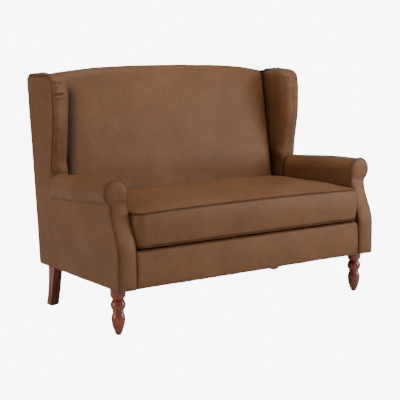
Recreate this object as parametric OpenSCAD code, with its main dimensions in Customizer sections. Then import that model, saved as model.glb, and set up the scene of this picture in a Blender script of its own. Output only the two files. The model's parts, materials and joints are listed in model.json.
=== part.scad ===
// High back settee with wings, rolled arms and one loose seat cushion.
// Millimetres. The front faces -Y, the floor is Z = 0, and the origin is the
// middle of the footprint on the floor. Left and right are as seen from the front.

/* [Overall] */
// Width over the outside side panels
body_w = 1320; // [1180:1:1480]
// Depth of the body at its underside
body_d = 701; // [650:1:760]
// Height of the crest at its middle
overall_h = 1035; // [980:1:1100]
// Height of the underside of the body above the floor
leg_h = 186; // [160:1:215]
// Thickness of the back from front to rear, at the top of a wing
crown_t = 68.9; // [60:0.1:85]
// Lean of the outside back, in degrees
rear_lean = 5.3; // [3:0.1:6.5]

/* [Arms] */
// Width of the upholstered front of an arm below the scroll
stile_w = 80; // [68:1:92]
// Radius of the scroll at the front of an arm
scroll_r = 52.5; // [46:0.5:58]
// Height of the middle of the scroll
scroll_z = 562; // [535:1:590]
// Extra padding above and below the scroll along the arm
roll_swell = 4.5; // [2:0.5:7]
// How far the scroll stands back behind the foot of the arm
arm_setback = 57; // [40:1:75]
// Fall of the arm towards the back, in degrees
arm_fall = 3.8; // [2:0.1:5]

/* [Wings] */
// How far the foot of a wing stands in front of the inside back at the seat
wing_reach = 37; // [20:1:45]
// How far the wing swells forwards near its top
wing_swell = 35; // [15:1:45]
// Drop from the middle of the crest to the top of a wing
wing_drop = 27; // [20:1:45]
// Thickness of a wing at its front edge
wing_t = 70; // [60:1:80]
// Extra thickness of a wing where it meets the back
wing_flare = 28; // [10:1:34]

/* [Seat] */
// Height of the front rail with its cover
rail_h = 153; // [135:1:165]
// Thickness of the body behind the inside back, from the seat to the foot of the outside back
back_t = 107; // [96:1:135]
// Height of the border of the seat cushion between its welts
cushion_border = 134; // [110:1:150]
// Rise of the crown of the cushion above its upper welt
cushion_crown = 15; // [8:1:24]
// Radius of the front corners of the cushion, seen from above
cushion_corner_r = 34; // [22:1:44]
// Diameter of the welts
welt_d = 7; // [5:0.5:9]

/* [Back] */
// Drop of the crest from its middle to the wings
crest_drop = 30; // [15:1:40]
// Fullness of the inside back at its middle
back_crown = 16; // [6:1:24]
// Thickness of the foam on the inside back
back_foam_t = 42; // [32:1:50]

/* [Legs] */
// Distance of a front leg from the side of the body, to its middle
front_leg_inset_x = 38; // [34:1:48]
// Distance of a front leg from the front plane, to its middle
front_leg_y = 85; // [70:1:100]
// Largest radius of a turned front leg
front_leg_r = 31; // [26:0.5:34]
// Thickness of a square rear leg
rear_leg_w = 40; // [34:1:46]
// How far a rear leg sweeps backwards at the floor
rear_leg_sweep = 41; // [20:1:50]
// Distance of the front of a rear leg from the back of the body, at its top
rear_leg_set = 96; // [89:1:105]

/* [Frame] */
// Thickness of the frame boards
board_t = 24; // [20:1:28]
// Thickness of the arm posts, front to back
arm_post_t = 45; // [38:1:55]
// Thickness of the corner blocks and the rails at the back of the seat
block_t = 30; // [26:1:36]
// Thickness of leather with its backing
cover_t = 3; // [2:0.1:4]
// Thickness of the padding on the outside of the frame
pad_t = 7; // [5:0.5:9]
// Number of seat springs
spring_count = 9; // [7:1:11]
// Thickness of the spring wire
spring_wire = 3.8; // [3:0.1:4.5]
// Number of upright webbing straps in the back
strap_count = 9; // [7:1:11]

/* [Hidden] */

// Working values: clearances and thicknesses
seam_gap = 0.3;
cut_over = 1;
waist_r = 14;
arm_front_t = 8;
arm_dome_h = 5;
dome_steps = 5;
side_t = 6;
dust_t = 2;
seat_pad_t = 12;
clip_t = 1.2;
scoop_drop = 14;
rail_round_r = 14;
rail_lip = 70;
round_fn = 96;
under_h = 10;

// Working values: side view of the seat and body
welt_r = welt_d / 2;
half_w = body_w / 2;
seat_d = body_d - back_t;
wing_front_y = seat_d - wing_reach;
wing_top_z = overall_h - wing_drop;
rear_leg_y = body_d - rear_leg_set;
face_y = welt_d + seam_gap;
frame_z = leg_h + dust_t;
rail_top = leg_h + rail_h;
wood_top = rail_top - cover_t - seat_pad_t - spring_wire - clip_t;
cushion_z = rail_top + seam_gap;
seat_top = cushion_z + under_h + cushion_border;
arm_in_x = half_w - stile_w;
scroll_x = arm_in_x + scroll_r;
scoop_low_z = rail_top - scoop_drop;
scoop_high_z = scroll_z - scroll_r;
panel_x = half_w - side_t;
rail_face_y = face_y + 2 * seam_gap;
rail_y = rail_face_y + cover_t + pad_t;
post_x = panel_x - board_t;
post_in_x = post_x - board_t;

// A smooth step from 0 to 1
function smooth(t) = t <= 0 ? 0 : t >= 1 ? 1 : t * t * (3 - 2 * t);
function front_y(z) = face_y + arm_setback * smooth((z - scoop_low_z) / (scoop_high_z - scoop_low_z));
function rear_y(z) = body_d + (z - leg_h) * tan(rear_lean);
back_slope = (rear_y(wing_top_z) - crown_t - seat_d) / (wing_top_z - seat_top);
function back_y(z) = seat_d + (z - seat_top) * back_slope;
function post_rear(z) = rear_y(z) - cover_t - seam_gap;
function roll_drop(y) = (y - front_y(scroll_z)) * tan(arm_fall);
function roll_under(y) = scroll_z - roll_swell - scroll_r - roll_drop(y);

// The wing in side view
swell_low_share = 0.22;
swell_high_share = 0.8;
nose_lean_share = 0.18;
wing_round_r = 30;
wing_corner_r = 70;
wing_corner_h = 40;
wing_corner_min = 8;
wing_top_flat = 41;
wing_top_drop = 23;
wing_rear_r = 12;
wing_rear_in_share = 0.3;
wing_rear_down_share = 0.25;
wing_top_power_share = 1.6;
wing_low_z = scroll_z + scroll_r;
swell_low_z = wing_low_z + swell_low_share * (wing_top_z - wing_low_z);
swell_high_z = wing_low_z + swell_high_share * (wing_top_z - wing_low_z);
wing_rear_z = wing_top_z - wing_top_drop;
wing_rear_y = rear_y(wing_rear_z);
overall_d = wing_rear_y;
function wing_nose(z) = wing_front_y
    - wing_swell * smooth((z - swell_low_z) / (swell_high_z - swell_low_z))
    + max(0, z - swell_high_z) * nose_lean_share;
function corner_r(g) = max(wing_corner_r - g, wing_corner_min);
function corner_h(g) = max(wing_corner_h - g, wing_corner_min);
function wing_front(z) = let (t = min(1, max(0, 1 - (wing_top_z - z) / wing_corner_h)))
    wing_nose(z) + wing_corner_r * (1 - sqrt(1 - t * t));
function wing_top(y) = wing_top_z - wing_top_drop
    * pow(max(0, (y - wing_front_y - wing_top_flat) / (wing_rear_y - wing_front_y - wing_top_flat)),
            wing_top_power_share);

// Points along a line of the front profile, from one height to another
scoop_steps = 12;
function scoop_heights(z0, z1) = concat([z0],
    [for (i = [0 : scoop_steps]) let (z = scoop_low_z + (scoop_high_z - scoop_low_z) * i / scoop_steps)
        if (z > z0 && z < z1) z], [z1]);
function front_line(off, z0, z1) = [for (z = scoop_heights(z0, z1)) [front_y(z) + off, z]];
function backwards(list) = [for (i = [len(list) - 1 : -1 : 0]) list[i]];

// The outline of a wing above z0 in side view, drawn in by an inset
wing_steps = 10;
function wing_front_line(g, z0) = let (z1 = wing_top_z - g - corner_h(g))
    concat([[wing_nose(z0) + g, z0]],
        [for (i = [0 : wing_steps]) let (z = swell_low_z + (z1 - swell_low_z) * i / wing_steps)
            if (z > z0) [wing_nose(z) + g, z]]);
function wing_crown_line(g) = let (r = corner_r(g), h = corner_h(g), zc = wing_top_z - g - h,
        yc = wing_nose(zc) + g + r, y1 = wing_rear_y - wing_rear_r)
    concat([for (a = [15 : 15 : 90]) [yc - r * cos(a), zc + h * sin(a)]],
        [for (i = [1 : wing_steps]) let (y = yc + (y1 - yc) * i / wing_steps) [y, wing_top(y) - g]]);
function wing_rear_line(drop) = let (z = wing_rear_z - drop) [
    [rear_y(z) - wing_rear_r * wing_rear_in_share, z - wing_rear_r * wing_rear_down_share],
    [rear_y(z - wing_rear_r), z - wing_rear_r]];

// Crest of the back, seen from the front
crest_power_share = 3.2;
crest_steps = 24;
function crest(x) = overall_h - crest_drop * pow(abs(x) / (half_w - wing_t), crest_power_share);

// Half width of the inside back, narrower towards the crest where the wings thicken
back_base = rail_top + seam_gap;
function back_half(z) = half_w - wing_t - wing_flare * (z - back_base) / (wing_top_z - back_base);

// Places the part about the middle of its footprint, mirrors a left piece, and sets out profiles
module stand() { translate([0, -overall_d / 2, 0]) children(); }
module left_or_right(side) { mirror([side < 0 ? 1 : 0, 0, 0]) children(); }
module across(x0, x1) { translate([x0, 0, 0]) rotate([90, 0, 90]) linear_extrude(x1 - x0) children(); }
module along(y0, y1) { translate([0, y1, 0]) rotate([90, 0, 0]) linear_extrude(y1 - y0) children(); }
module block(x0, x1, y0, y1, z0, z1) { translate([x0, y0, z0]) cube([x1 - x0, y1 - y0, z1 - z0]); }

// A skin of triangles over a row of rings with the same number of points, ends closed by fans
function middle(ring) = [for (k = [0 : 2]) [for (p = ring) 1] * [for (p = ring) p[k]] / len(ring)];
module loft(rings) {
    m = len(rings);
    n = len(rings[0]);
    points = concat([for (r = rings) each r], [middle(rings[0]), middle(rings[m - 1])]);
    sides = [for (i = [0 : m - 2]) for (j = [0 : n - 1])
        let (a = i * n + j, b = i * n + (j + 1) % n) each [[a, a + n, b], [b, a + n, b + n]]];
    start = [for (j = [0 : n - 1]) [m * n, j, (j + 1) % n]];
    end = [for (j = [0 : n - 1]) [m * n + 1, (m - 1) * n + (j + 1) % n, (m - 1) * n + j]];
    polyhedron(points, concat(sides, start, end));
}

// The same between two flat ends, for a hollow skin whose inner points start at a given place
module loft_flat(rings, inner_from) {
    m = len(rings);
    n = len(rings[0]);
    sides = [for (i = [0 : m - 2]) for (j = [0 : n - 1])
        let (a = i * n + j, b = i * n + (j + 1) % n)
        each j < inner_from ? [[a, a + n, b], [b, a + n, b + n]] : [[a, a + n, b + n], [a, b + n, b]]];
    ends = [[for (j = [0 : n - 1]) j], [for (j = [n - 1 : -1 : 0]) (m - 1) * n + j]];
    polyhedron([for (r = rings) each r], concat(sides, ends));
}

// A shell of leather between outer and inner rings, open along its last side and at its foot
module shell(outer, inner) {
    m = len(outer);
    n = len(outer[0]);
    skin = m * n;
    centre = 2 * skin;
    top = (m - 1) * n;
    walls = [for (i = [0 : m - 2]) for (j = [0 : n - 2]) let (low = i * n + j, high = low + n) each [
        [high, low, high + 1], [high + 1, low, low + 1],
        [skin + high + 1, skin + low, skin + high], [skin + low + 1, skin + low, skin + high + 1]]];
    foot = [for (j = [0 : n - 2]) [j + 1, j, skin + j, skin + j + 1]];
    rims = [for (i = [0 : m - 2]) let (a = i * n, b = a + n, c = a + n - 1, d = b + n - 1) each [
        [a, b, skin + b, skin + a], [d, c, skin + c, skin + d]]];
    lid = [for (j = [0 : n - 1]) let (a = top + j, b = top + (j + 1) % n) each [
        [centre, a, b], [centre + 1, skin + b, skin + a]]];
    edge = [[top, top + n - 1, skin + top + n - 1, skin + top]];
    points = concat([for (r = outer) each r], [for (r = inner) each r],
        [middle(outer[m - 1]), middle(inner[m - 1])]);
    polyhedron(points, concat(walls, foot, rims, lid, edge));
}

// A round welt swept along a path, open or closed
function unit(v) = v / norm(v);
welt_sides = 6;
module welt(path, closed, up) {
    n = len(path);
    rings = [for (i = [0 : n - 1])
        let (before = path[closed ? (i + n - 1) % n : max(0, i - 1)],
            after = path[closed ? (i + 1) % n : min(n - 1, i + 1)],
            t = unit(after - before), s = unit(cross(t, up)), u = cross(s, t))
        [for (k = [0 : welt_sides - 1]) let (a = 360 * k / welt_sides)
            path[i] + welt_r * (cos(a) * s + sin(a) * u)]];
    if (closed) {
        m = welt_sides;
        faces = [for (i = [0 : n - 1]) for (j = [0 : m - 1])
            let (a = i * m + j, b = i * m + (j + 1) % m, c = ((i + 1) % n) * m + j,
                d = ((i + 1) % n) * m + (j + 1) % m) each [[a, b, c], [b, d, c]]];
        polyhedron([for (r = rings) each r], faces);
    } else {
        loft(backwards(rings));
    }
}

// The front of an arm seen from the front: a stile and a scroll with a small waist below it
module arm_outline(g, z0) {
    r = scroll_r - g;
    xo = half_w - g;
    fx = xo + waist_r;
    fz = scroll_z - sqrt(pow(r + waist_r, 2) - pow(fx - scroll_x, 2));
    touch = [scroll_x, scroll_z] + ([fx, fz] - [scroll_x, scroll_z]) * r / (r + waist_r);
    translate([arm_in_x + g, z0]) square([xo - arm_in_x - g, scroll_z - z0]);
    translate([scroll_x, scroll_z]) circle(r, $fn = round_fn);
    difference() {
        polygon([[xo, fz], touch, [scroll_x, scroll_z], [xo - waist_r, fz]]);
        translate([fx, fz]) circle(waist_r, $fn = round_fn);
    }
}
module scooped(off0, off1, z0, z1) {
    across(arm_in_x - cut_over, half_w + scroll_r)
        polygon(concat(front_line(off0, z0, z1), backwards(front_line(off1, z0, z1))));
}

// The padded roll of an arm, seen from the front, and the space it fills
module roll_outline(g) {
    r = scroll_r - g;
    for (up = [-1, 1]) translate([scroll_x, scroll_z + up * roll_swell]) circle(r, $fn = round_fn);
    translate([scroll_x - r, scroll_z - roll_swell]) square([2 * r, 2 * roll_swell]);
}
roll_y = front_y(scroll_z) + arm_front_t;
arm_end_y = wing_front_y - seam_gap;
module roll(g, over) {
    intersection() {
        translate([0, front_y(scroll_z), scroll_z]) rotate([-arm_fall, 0, 0])
            translate([0, -front_y(scroll_z), -scroll_z])
            along(roll_y - scroll_r, arm_end_y + 2 * scroll_r) roll_outline(g);
        block(0, half_w + scroll_r, roll_y - over, arm_end_y + over, 0, overall_h);
    }
}

// Frame: seat rails, braces and blocks
rail_end_x = arm_in_x + pad_t;
brace_x_share = 0.36;
brace_h_share = 0.45;
corner_block_w = 76;
corner_cut_share = 0.333;
nut_r = 5.5;
nut_h = 12;
nut_flange_r = 10;
nut_flange_t = 1.5;
bolt_r = 4;
bolt_h = 34;
fit_gap = 0.1;
dowel_r = 5;
dowel_h = 36;
dowel_share = 0.25;
dowel_zs = [for (s = [dowel_share, 1 - dowel_share]) frame_z + (wood_top - frame_z) * s];
module rail_dowels(r, h) {
    for (z = dowel_zs) translate([rail_end_x - h / 2, rail_y + board_t / 2, z]) rotate([0, 90, 0])
        cylinder(r = r, h = h, $fn = round_fn);
}
module front_rail() {
    color("burlywood") difference() {
        block(-rail_end_x, rail_end_x, rail_y, rail_y + board_t, frame_z, wood_top);
        for (side = [-1, 1]) left_or_right(side) rail_dowels(dowel_r + fit_gap, dowel_h + 2 * fit_gap);
    }
}
module frame_dowels() {
    color("tan") for (side = [-1, 1]) left_or_right(side) rail_dowels(dowel_r, dowel_h);
}
module rear_rail() {
    color("burlywood") across(-post_in_x, post_in_x) polygon([
        [post_rear(frame_z) - block_t, frame_z], [post_rear(frame_z), frame_z],
        [post_rear(wood_top), wood_top], [post_rear(wood_top) - block_t, wood_top]]);
}
module side_rail(side) {
    y0 = face_y + arm_front_t + arm_post_t;
    color("burlywood") left_or_right(side) across(post_x, panel_x) polygon([
        [y0, frame_z], [post_rear(frame_z), frame_z],
        [post_rear(wood_top), wood_top], [y0, wood_top]]);
}
module seat_braces() {
    x = half_w * brace_x_share;
    top = frame_z + (wood_top - frame_z) * brace_h_share;
    color("burlywood") for (side = [-1, 1]) translate([side * x, 0, 0]) across(-board_t / 2, board_t / 2)
        polygon([[rail_y + board_t, frame_z], [post_rear(frame_z) - block_t, frame_z],
            [post_rear(top) - block_t, top], [rail_y + board_t, top]]);
}
front_block_y = face_y + arm_front_t + arm_post_t;
module corner_blocks() {
    w = corner_block_w;
    cut = w * corner_cut_share;
    color("peru") for (side = [-1, 1]) left_or_right(side) {
        difference() {
            translate([0, 0, frame_z]) linear_extrude(block_t) polygon([
                [post_x, front_block_y], [post_x, front_block_y + w],
                [post_x - cut, front_block_y + w], [post_x - w, front_block_y + cut],
                [post_x - w, front_block_y]]);
            translate([half_w - front_leg_inset_x, front_leg_y, frame_z - cut_over])
                cylinder(r = nut_r + fit_gap, h = block_t + 2 * cut_over, $fn = round_fn);
        }
        y = post_rear(frame_z) - block_t;
        translate([0, 0, frame_z]) linear_extrude(block_t) polygon([
            [post_in_x, y], [post_in_x - w, y], [post_in_x - w, y - cut],
            [post_in_x - cut, y - w], [post_in_x, y - w]]);
    }
}

// Frame: arm posts with the scroll cut on them, and arm rails
arm_rail_w = 42;
arm_rail_t = 22;
module arm_post_shape() {
    intersection() {
        along(0, arm_setback + face_y + arm_front_t + arm_post_t + cut_over) arm_outline(pad_t, frame_z);
        scooped(arm_front_t, arm_front_t + arm_post_t, frame_z, scroll_z + scroll_r);
    }
}
module arm_post(side) {
    color("burlywood") left_or_right(side) difference() {
        arm_post_shape();
        rail_dowels(dowel_r + fit_gap, dowel_h + 2 * fit_gap);
    }
}
arm_rail_y = roll_y + arm_post_t;
function post_front(z) = back_y(z) + back_foam_t;
module arm_rail_shape() {
    intersection() {
        translate([0, front_y(scroll_z), scroll_z]) rotate([-arm_fall, 0, 0])
            translate([0, -front_y(scroll_z), -scroll_z])
            block(post_in_x, post_in_x + arm_rail_w, arm_rail_y - scroll_r, overall_d,
                scroll_z - arm_rail_t / 2, scroll_z + arm_rail_t / 2);
        across(0, half_w) polygon([[arm_rail_y, 0], [post_front(0), 0],
            [post_front(overall_h), overall_h], [arm_rail_y, overall_h]]);
    }
}
module arm_rail(side) { color("burlywood") left_or_right(side) arm_rail_shape(); }

// Frame: thin boards that back the padding inside the arms
arm_slab_t = 23;
arm_board_t = 5;
module arm_boards() {
    z0 = rail_top + seam_gap;
    x = arm_in_x + arm_slab_t;
    y0 = front_y(scoop_high_z) + arm_front_t + arm_post_t;
    color("peru") for (side = [-1, 1]) left_or_right(side) across(x, x + arm_board_t) polygon(concat(
        front_line(arm_front_t + arm_post_t, z0, roll_under(y0) - seam_gap),
        [[arm_end_y, roll_under(arm_end_y) - seam_gap], [arm_end_y, z0]]));
}

// Frame: back posts, crest rail, lower rail
rear_leg_x = post_x - board_t / 2;
rear_leg_top_d = 55;
rear_foot_d = 40;
rear_bolt_y = rear_leg_y + rear_leg_top_d / 2;
crest_rail_h = 62;
post_top_z = wing_rear_z - pad_t - cover_t - wing_rear_r;
lower_rail_z = rail_top + 3 * board_t;
lower_rail_h = 50;
module back_post(side) {
    color("burlywood") left_or_right(side) difference() {
        across(post_in_x, post_x) polygon([
            [rear_leg_y, frame_z], [post_rear(frame_z), frame_z], [post_rear(post_top_z), post_top_z],
            [post_front(post_top_z), post_top_z], [post_front(seat_top), seat_top],
            [rear_leg_y, rail_top]]);
        translate([rear_leg_x, rear_bolt_y, frame_z - cut_over])
            cylinder(r = nut_r + fit_gap, h = bolt_h + cut_over, $fn = round_fn);
    }
}
module crest_rail() {
    top = back_top_r + cover_t;
    low = post_top_z - crest_rail_h;
    x1 = back_half(wing_top_z) - seam_gap;
    xs = [for (i = [0 : crest_steps]) -x1 + 2 * x1 * i / crest_steps];
    color("burlywood") intersection() {
        along(seat_d, overall_d + cut_over) polygon(concat(
            [[-post_in_x, low], [-post_in_x, post_top_z], [-x1, post_top_z]],
            [for (x = xs) [x, crest(x) - top]],
            [[x1, post_top_z], [post_in_x, post_top_z], [post_in_x, low]]));
        across(-post_in_x, post_in_x) polygon([
            [post_front(low), low], [post_rear(low), low],
            [post_rear(overall_h), overall_h], [post_front(overall_h), overall_h]]);
    }
}
module back_lower_rail() {
    z1 = lower_rail_z + lower_rail_h;
    color("burlywood") across(-post_in_x, post_in_x) polygon([
        [post_front(lower_rail_z), lower_rail_z], [post_front(lower_rail_z) + board_t, lower_rail_z],
        [post_front(z1) + board_t, z1], [post_front(z1), z1]]);
}

// Frame: wing boards with an open middle, standing on the arm rails
wing_board_g = 16;
wing_window_w = 36;
function arm_rail_top(y) = scroll_z - roll_drop(y) + arm_rail_t / 2 / cos(arm_fall);
module wing_board_outline(g, lift) {
    y0 = wing_front_y + wing_board_g + g;
    z1 = wing_top(post_front(wing_rear_z)) - wing_board_g - g;
    y1 = post_front(z1) - g;
    z2 = arm_rail_top(post_front(arm_rail_top(wing_front_y)) - g) + lift;
    crown = [for (p = wing_crown_line(wing_board_g + g)) if (p.x < y1 - seam_gap) p];
    polygon(concat(wing_front_line(wing_board_g + g, arm_rail_top(y0) + lift), crown,
        [[y1, z1], [post_front(z2) - g, z2]]));
}
module wing_frame(side) {
    color("burlywood") left_or_right(side) across(post_in_x, post_x) difference() {
        wing_board_outline(0, seam_gap);
        wing_board_outline(wing_window_w, 2 * wing_window_w);
    }
}

// Springs: bent wire between clips on the front and rear rails
spring_pitch = 52;
spring_swing = 20;
spring_steps = 8;
clip_w = 50;
clip_d = 18;
spring_edge_share = 0.5;
spring_z = wood_top + clip_t;
spring_y0 = rail_y + clip_d / 2;
spring_y1 = post_rear(wood_top) - block_t + clip_d / 2;
function spring_x(i) = (i - (spring_count - 1) / 2) * 2 * arm_in_x / (spring_count + spring_edge_share);
module seat_springs() {
    waves = round((spring_y1 - spring_y0) / spring_pitch);
    n = waves * spring_steps;
    length = spring_y1 - spring_y0;
    function mid(i) = [spring_swing * sin(360 * i / spring_steps), spring_y0 + length * i / n];
    function off(i, s) = let (t = unit(mid(i + 1) - mid(i - 1))) mid(i) + s * spring_wire / 2 * [-t.y, t.x];
    color("silver") for (k = [0 : spring_count - 1]) translate([spring_x(k), 0, spring_z])
        linear_extrude(spring_wire)
            polygon(concat([for (i = [0 : n]) off(i, 1)], [for (i = [n : -1 : 0]) off(i, -1)]));
}
module spring_clips() {
    y1 = post_rear(wood_top) - block_t;
    color("gray") for (k = [0 : spring_count - 1]) for (y = [rail_y, y1])
        block(spring_x(k) - clip_w / 2, spring_x(k) + clip_w / 2, y, y + clip_d, wood_top, spring_z);
}
tie_r = 1.6;
tie_shares = [0.3, 0.5, 0.7];
module spring_tie_wires() {
    color("gray") for (s = tie_shares)
        translate([0, spring_y0 + (spring_y1 - spring_y0) * s, spring_z - tie_r]) rotate([0, 90, 0])
            cylinder(r = tie_r, h = 2 * (arm_in_x - clip_w / 2), center = true, $fn = round_fn);
}

// Pad and cloth over the springs
pad_top = rail_top - cover_t;
pad_back_y = post_rear(wood_top) - block_t;
module seat_pad() {
    color("gainsboro") block(-arm_in_x, arm_in_x, rail_y + board_t, pad_back_y,
        spring_z + spring_wire, pad_top);
}
module deck_cloth() {
    color("dimgray") block(-arm_in_x, arm_in_x, rail_face_y + rail_lip, pad_back_y, pad_top, rail_top);
}

// Front rail: padding and cover with a soft upper edge
module rail_section(g, z0) {
    r = rail_round_r - g;
    y = rail_face_y + g;
    z = rail_top - g;
    translate([y + r, z - r]) circle(r, $fn = round_fn);
    translate([y, z0]) square([rail_lip - 2 * g, z - r - z0]);
    translate([y + r, z0]) square([rail_lip - r - 2 * g, z - z0]);
}
module front_rail_pad() {
    color("whitesmoke") difference() {
        across(-arm_in_x, arm_in_x) intersection() {
            rail_section(cover_t, leg_h + cover_t);
            translate([rail_face_y, frame_z]) square([rail_y + board_t - rail_face_y, rail_h]);
        }
        block(-arm_in_x - cut_over, arm_in_x + cut_over, rail_y, rail_y + board_t + cut_over,
            0, spring_z + spring_wire);
    }
}
pucker_x = 91;
pucker_r = 14;
pucker_h = 4.5;
module front_rail_cover() {
    pucker_y = rail_face_y + seam_gap + sqrt(pow(pucker_r, 2) - pow(pucker_r - pucker_h - seam_gap, 2));
    color("saddlebrown") {
        across(-arm_in_x + seam_gap, arm_in_x - seam_gap) difference() {
            rail_section(0, leg_h);
            intersection() {
                rail_section(cover_t, frame_z);
                translate([0, frame_z]) square([rail_y + rail_lip, rail_h]);
            }
            translate([rail_y + board_t / 2, 0]) square([rail_lip, frame_z]);
            translate([rail_y + board_t, 0]) square([rail_lip, pad_top]);
        }
        translate([pucker_x, pucker_y, leg_h]) intersection() {
            translate([0, 0, pucker_r - pucker_h]) sphere(pucker_r, $fn = round_fn);
            block(-pucker_r, pucker_r, -pucker_r, pucker_r, -pucker_h, seam_gap);
        }
    }
}

// Dust cover under the frame, open round each leg
module dust_cover() {
    lx = half_w - front_leg_inset_x;
    color("black") difference() {
        block(-panel_x, panel_x, rail_y + board_t / 2, rear_y(leg_h) - cover_t, leg_h, frame_z);
        for (side = [-1, 1]) left_or_right(side) {
            translate([lx, front_leg_y, leg_h - cut_over])
                cylinder(r = front_leg_r + seam_gap, h = dust_t + 2 * cut_over, $fn = round_fn);
            block(rear_leg_x - rear_leg_w / 2 - seam_gap, rear_leg_x + rear_leg_w / 2 + seam_gap,
                rear_leg_y - seam_gap, rear_leg_y + rear_leg_top_d + seam_gap,
                leg_h - cut_over, frame_z + cut_over);
        }
    }
}

// Inside back: a full front face that rounds over the crest
back_top_r = 28;
bulge_foot_h = 150;
bulge_top_share = 0.35;
bulge_side_power_share = 3;
back_columns = 16;
back_rows = 9;
function back_bulge(s, z) = let (
        low = smooth((z - seat_top) / bulge_foot_h),
        high = smooth((z - seat_top - bulge_foot_h) / (overall_h - seat_top - bulge_foot_h)))
    back_crown * (1 - pow(abs(s), bulge_side_power_share)) * low * (1 - (1 - bulge_top_share) * high);
function back_skin(s, g) = let (
        half = function (z) back_half(z) - seam_gap,
        top = crest(s * half(wing_top_z)),
        z1 = top - back_top_r,
        face = function (z) back_y(z) - back_bulge(s, z) + g,
        yr = post_rear(z1) - g, yf = face(z1), ym = (yf + yr) / 2)
    concat(
        [for (i = [0 : back_rows]) let (z = back_base + (z1 - back_base) * i / back_rows)
            [s * half(z), face(z), z]],
        [for (a = [30 : 30 : 150]) let (z = z1 + (back_top_r - g) * sin(a))
            [s * half(z), ym - (ym - yf) * cos(a), z]],
        [[s * half(z1), yr, z1]]);
function back_inner(s, z) = [s * (back_half(z) - seam_gap), post_front(z) - strap_t - seam_gap, z];
module inside_back_cover() {
    color("sienna") loft_flat([for (i = [0 : back_columns]) let (s = 1 - 2 * i / back_columns,
            out = back_skin(s, 0), ins = back_skin(s, cover_t))
        concat(out, backwards(ins))], len(back_skin(0, 0)));
}
module back_foam() {
    color("khaki") loft_flat([for (i = [0 : back_columns]) let (s = 1 - 2 * i / back_columns)
        concat(back_skin(s, cover_t), [back_inner(s, crest(s * back_half(wing_top_z)) - back_top_r),
            back_inner(s, back_base)])], len(back_skin(0, 0)));
}
module outside_back_cover() {
    xs = [for (i = [0 : crest_steps]) -panel_x + 2 * panel_x * i / crest_steps];
    color("saddlebrown") intersection() {
        along(back_y(0), overall_d + cut_over) polygon(concat(
            [for (x = xs) [x, crest(x) - back_top_r]],
            [[panel_x, leg_h], [-panel_x, leg_h]]));
        across(-panel_x, panel_x) polygon([
            [rear_y(leg_h) - cover_t, leg_h], [rear_y(leg_h), leg_h],
            [rear_y(overall_h), overall_h], [rear_y(overall_h) - cover_t, overall_h]]);
    }
}

// Elastic webbing behind the inside back, upright and across
strap_w = 50;
strap_t = 2;
cross_strap_shares = [0.25, 0.5, 0.75];
module back_webbing() {
    z0 = lower_rail_z;
    z1 = post_top_z - crest_rail_h / 2;
    color("tan") {
        for (k = [0 : strap_count - 1]) {
            x = (k - (strap_count - 1) / 2) * 2 * post_in_x / strap_count;
            across(x - strap_w / 2, x + strap_w / 2) polygon([
                [post_front(z0) - strap_t, z0], [post_front(z0), z0],
                [post_front(z1), z1], [post_front(z1) - strap_t, z1]]);
        }
        for (s = cross_strap_shares) {
            low = z0 + (z1 - z0) * s;
            high = low + strap_w;
            across(-post_in_x, post_in_x) polygon([
                [post_front(low), low], [post_front(low) + strap_t, low],
                [post_front(high) + strap_t, high], [post_front(high), high]]);
        }
    }
}

// Wings: covers over foam, with a soft inner front edge
wing_rows = 14;
wing_base = rail_top + seam_gap;
wing_edge_rows = 4;
wing_edge_r = 12;
function wing_section(u, g, e, rear) = let (
        z = min(wing_base + (wing_top_z - wing_base) * u, wing_top_z),
        high = function (y) wing_base + (wing_top(y) - g - wing_base) * u,
        zb = high(back_y(z)), zr = high(rear ? post_rear(z) : post_front(z)),
        yf = wing_front(z) + g, xi = half_w - wing_t + g + e,
        r = wing_round_r - g, yb = max(back_y(zb), yf + r), xc = back_half(zb) + g + e,
        yr = (rear ? post_rear(zr) : post_front(zr)) - seam_gap - g - e)
    concat([[panel_x, yf]],
        [for (a = [0 : 22.5 : 90]) [xi + r - r * sin(a), yf + r - r * cos(a)]],
        [[(xi + xc) / 2, (yf + r + yb) / 2], [xc, yb], [back_half(zr) + g + e, yr], [panel_x, yr]]);
function wing_ring(u, g, e, rear) = [for (p = wing_section(u, g, e, rear))
    [p.x, p.y, wing_base + (wing_top(p.y) - g - wing_base) * u]];
function wing_rings(g) = let (
        h = wing_rear_z - g - wing_base,
        u1 = (post_top_z + seam_gap + g - wing_base) / h, u2 = u1 + seam_gap / h)
    concat(
        [for (i = [0 : wing_rows]) wing_ring(u1 * i / wing_rows, g, 0, false)],
        [wing_ring(u2, g, 0, true)],
        [for (i = [0 : wing_edge_rows]) let (a = 90 * i / wing_edge_rows)
            wing_ring(1 - wing_edge_r * (1 - sin(a)) / h, g, (wing_edge_r - g) * (1 - cos(a)), true)]);
module wing_cover(side) {
    color("sienna") left_or_right(side) difference() {
        shell(wing_rings(0), wing_rings(cover_t));
        arm_rail_shape();
        across(post_in_x, post_x) wing_board_outline(0, -arm_rail_t / 2);
    }
}
module wing_foam(side) {
    z0 = wing_base - cut_over;
    color("khaki") left_or_right(side) difference() {
        intersection() {
            loft(backwards(wing_rings(cover_t)));
            block(0, panel_x - seam_gap, 0, overall_d, 0, overall_h);
        }
        across(post_in_x, panel_x + cut_over) polygon(concat(
            wing_front_line(wing_board_g, z0), wing_crown_line(wing_board_g),
            [[overall_d, wing_rear_z - wing_board_g], [overall_d, z0]]));
        arm_rail_shape();
    }
}
wing_foot_z = scroll_z - roll_drop(wing_front_y) + roll_swell + scroll_r;
module wing_welt(side) {
    edge = concat(wing_front_line(welt_d, wing_foot_z), wing_crown_line(welt_d));
    n = len(edge);
    off = welt_r + seam_gap;
    path = [for (i = [0 : n - 1]) let (t = unit(edge[min(n - 1, i + 1)] - edge[max(0, i - 1)]))
        [panel_x + seam_gap + welt_r, edge[i].x - off * t.y, edge[i].y + off * t.x]];
    color("sienna") left_or_right(side) welt(path, false, [1, 0, 0]);
}

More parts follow.
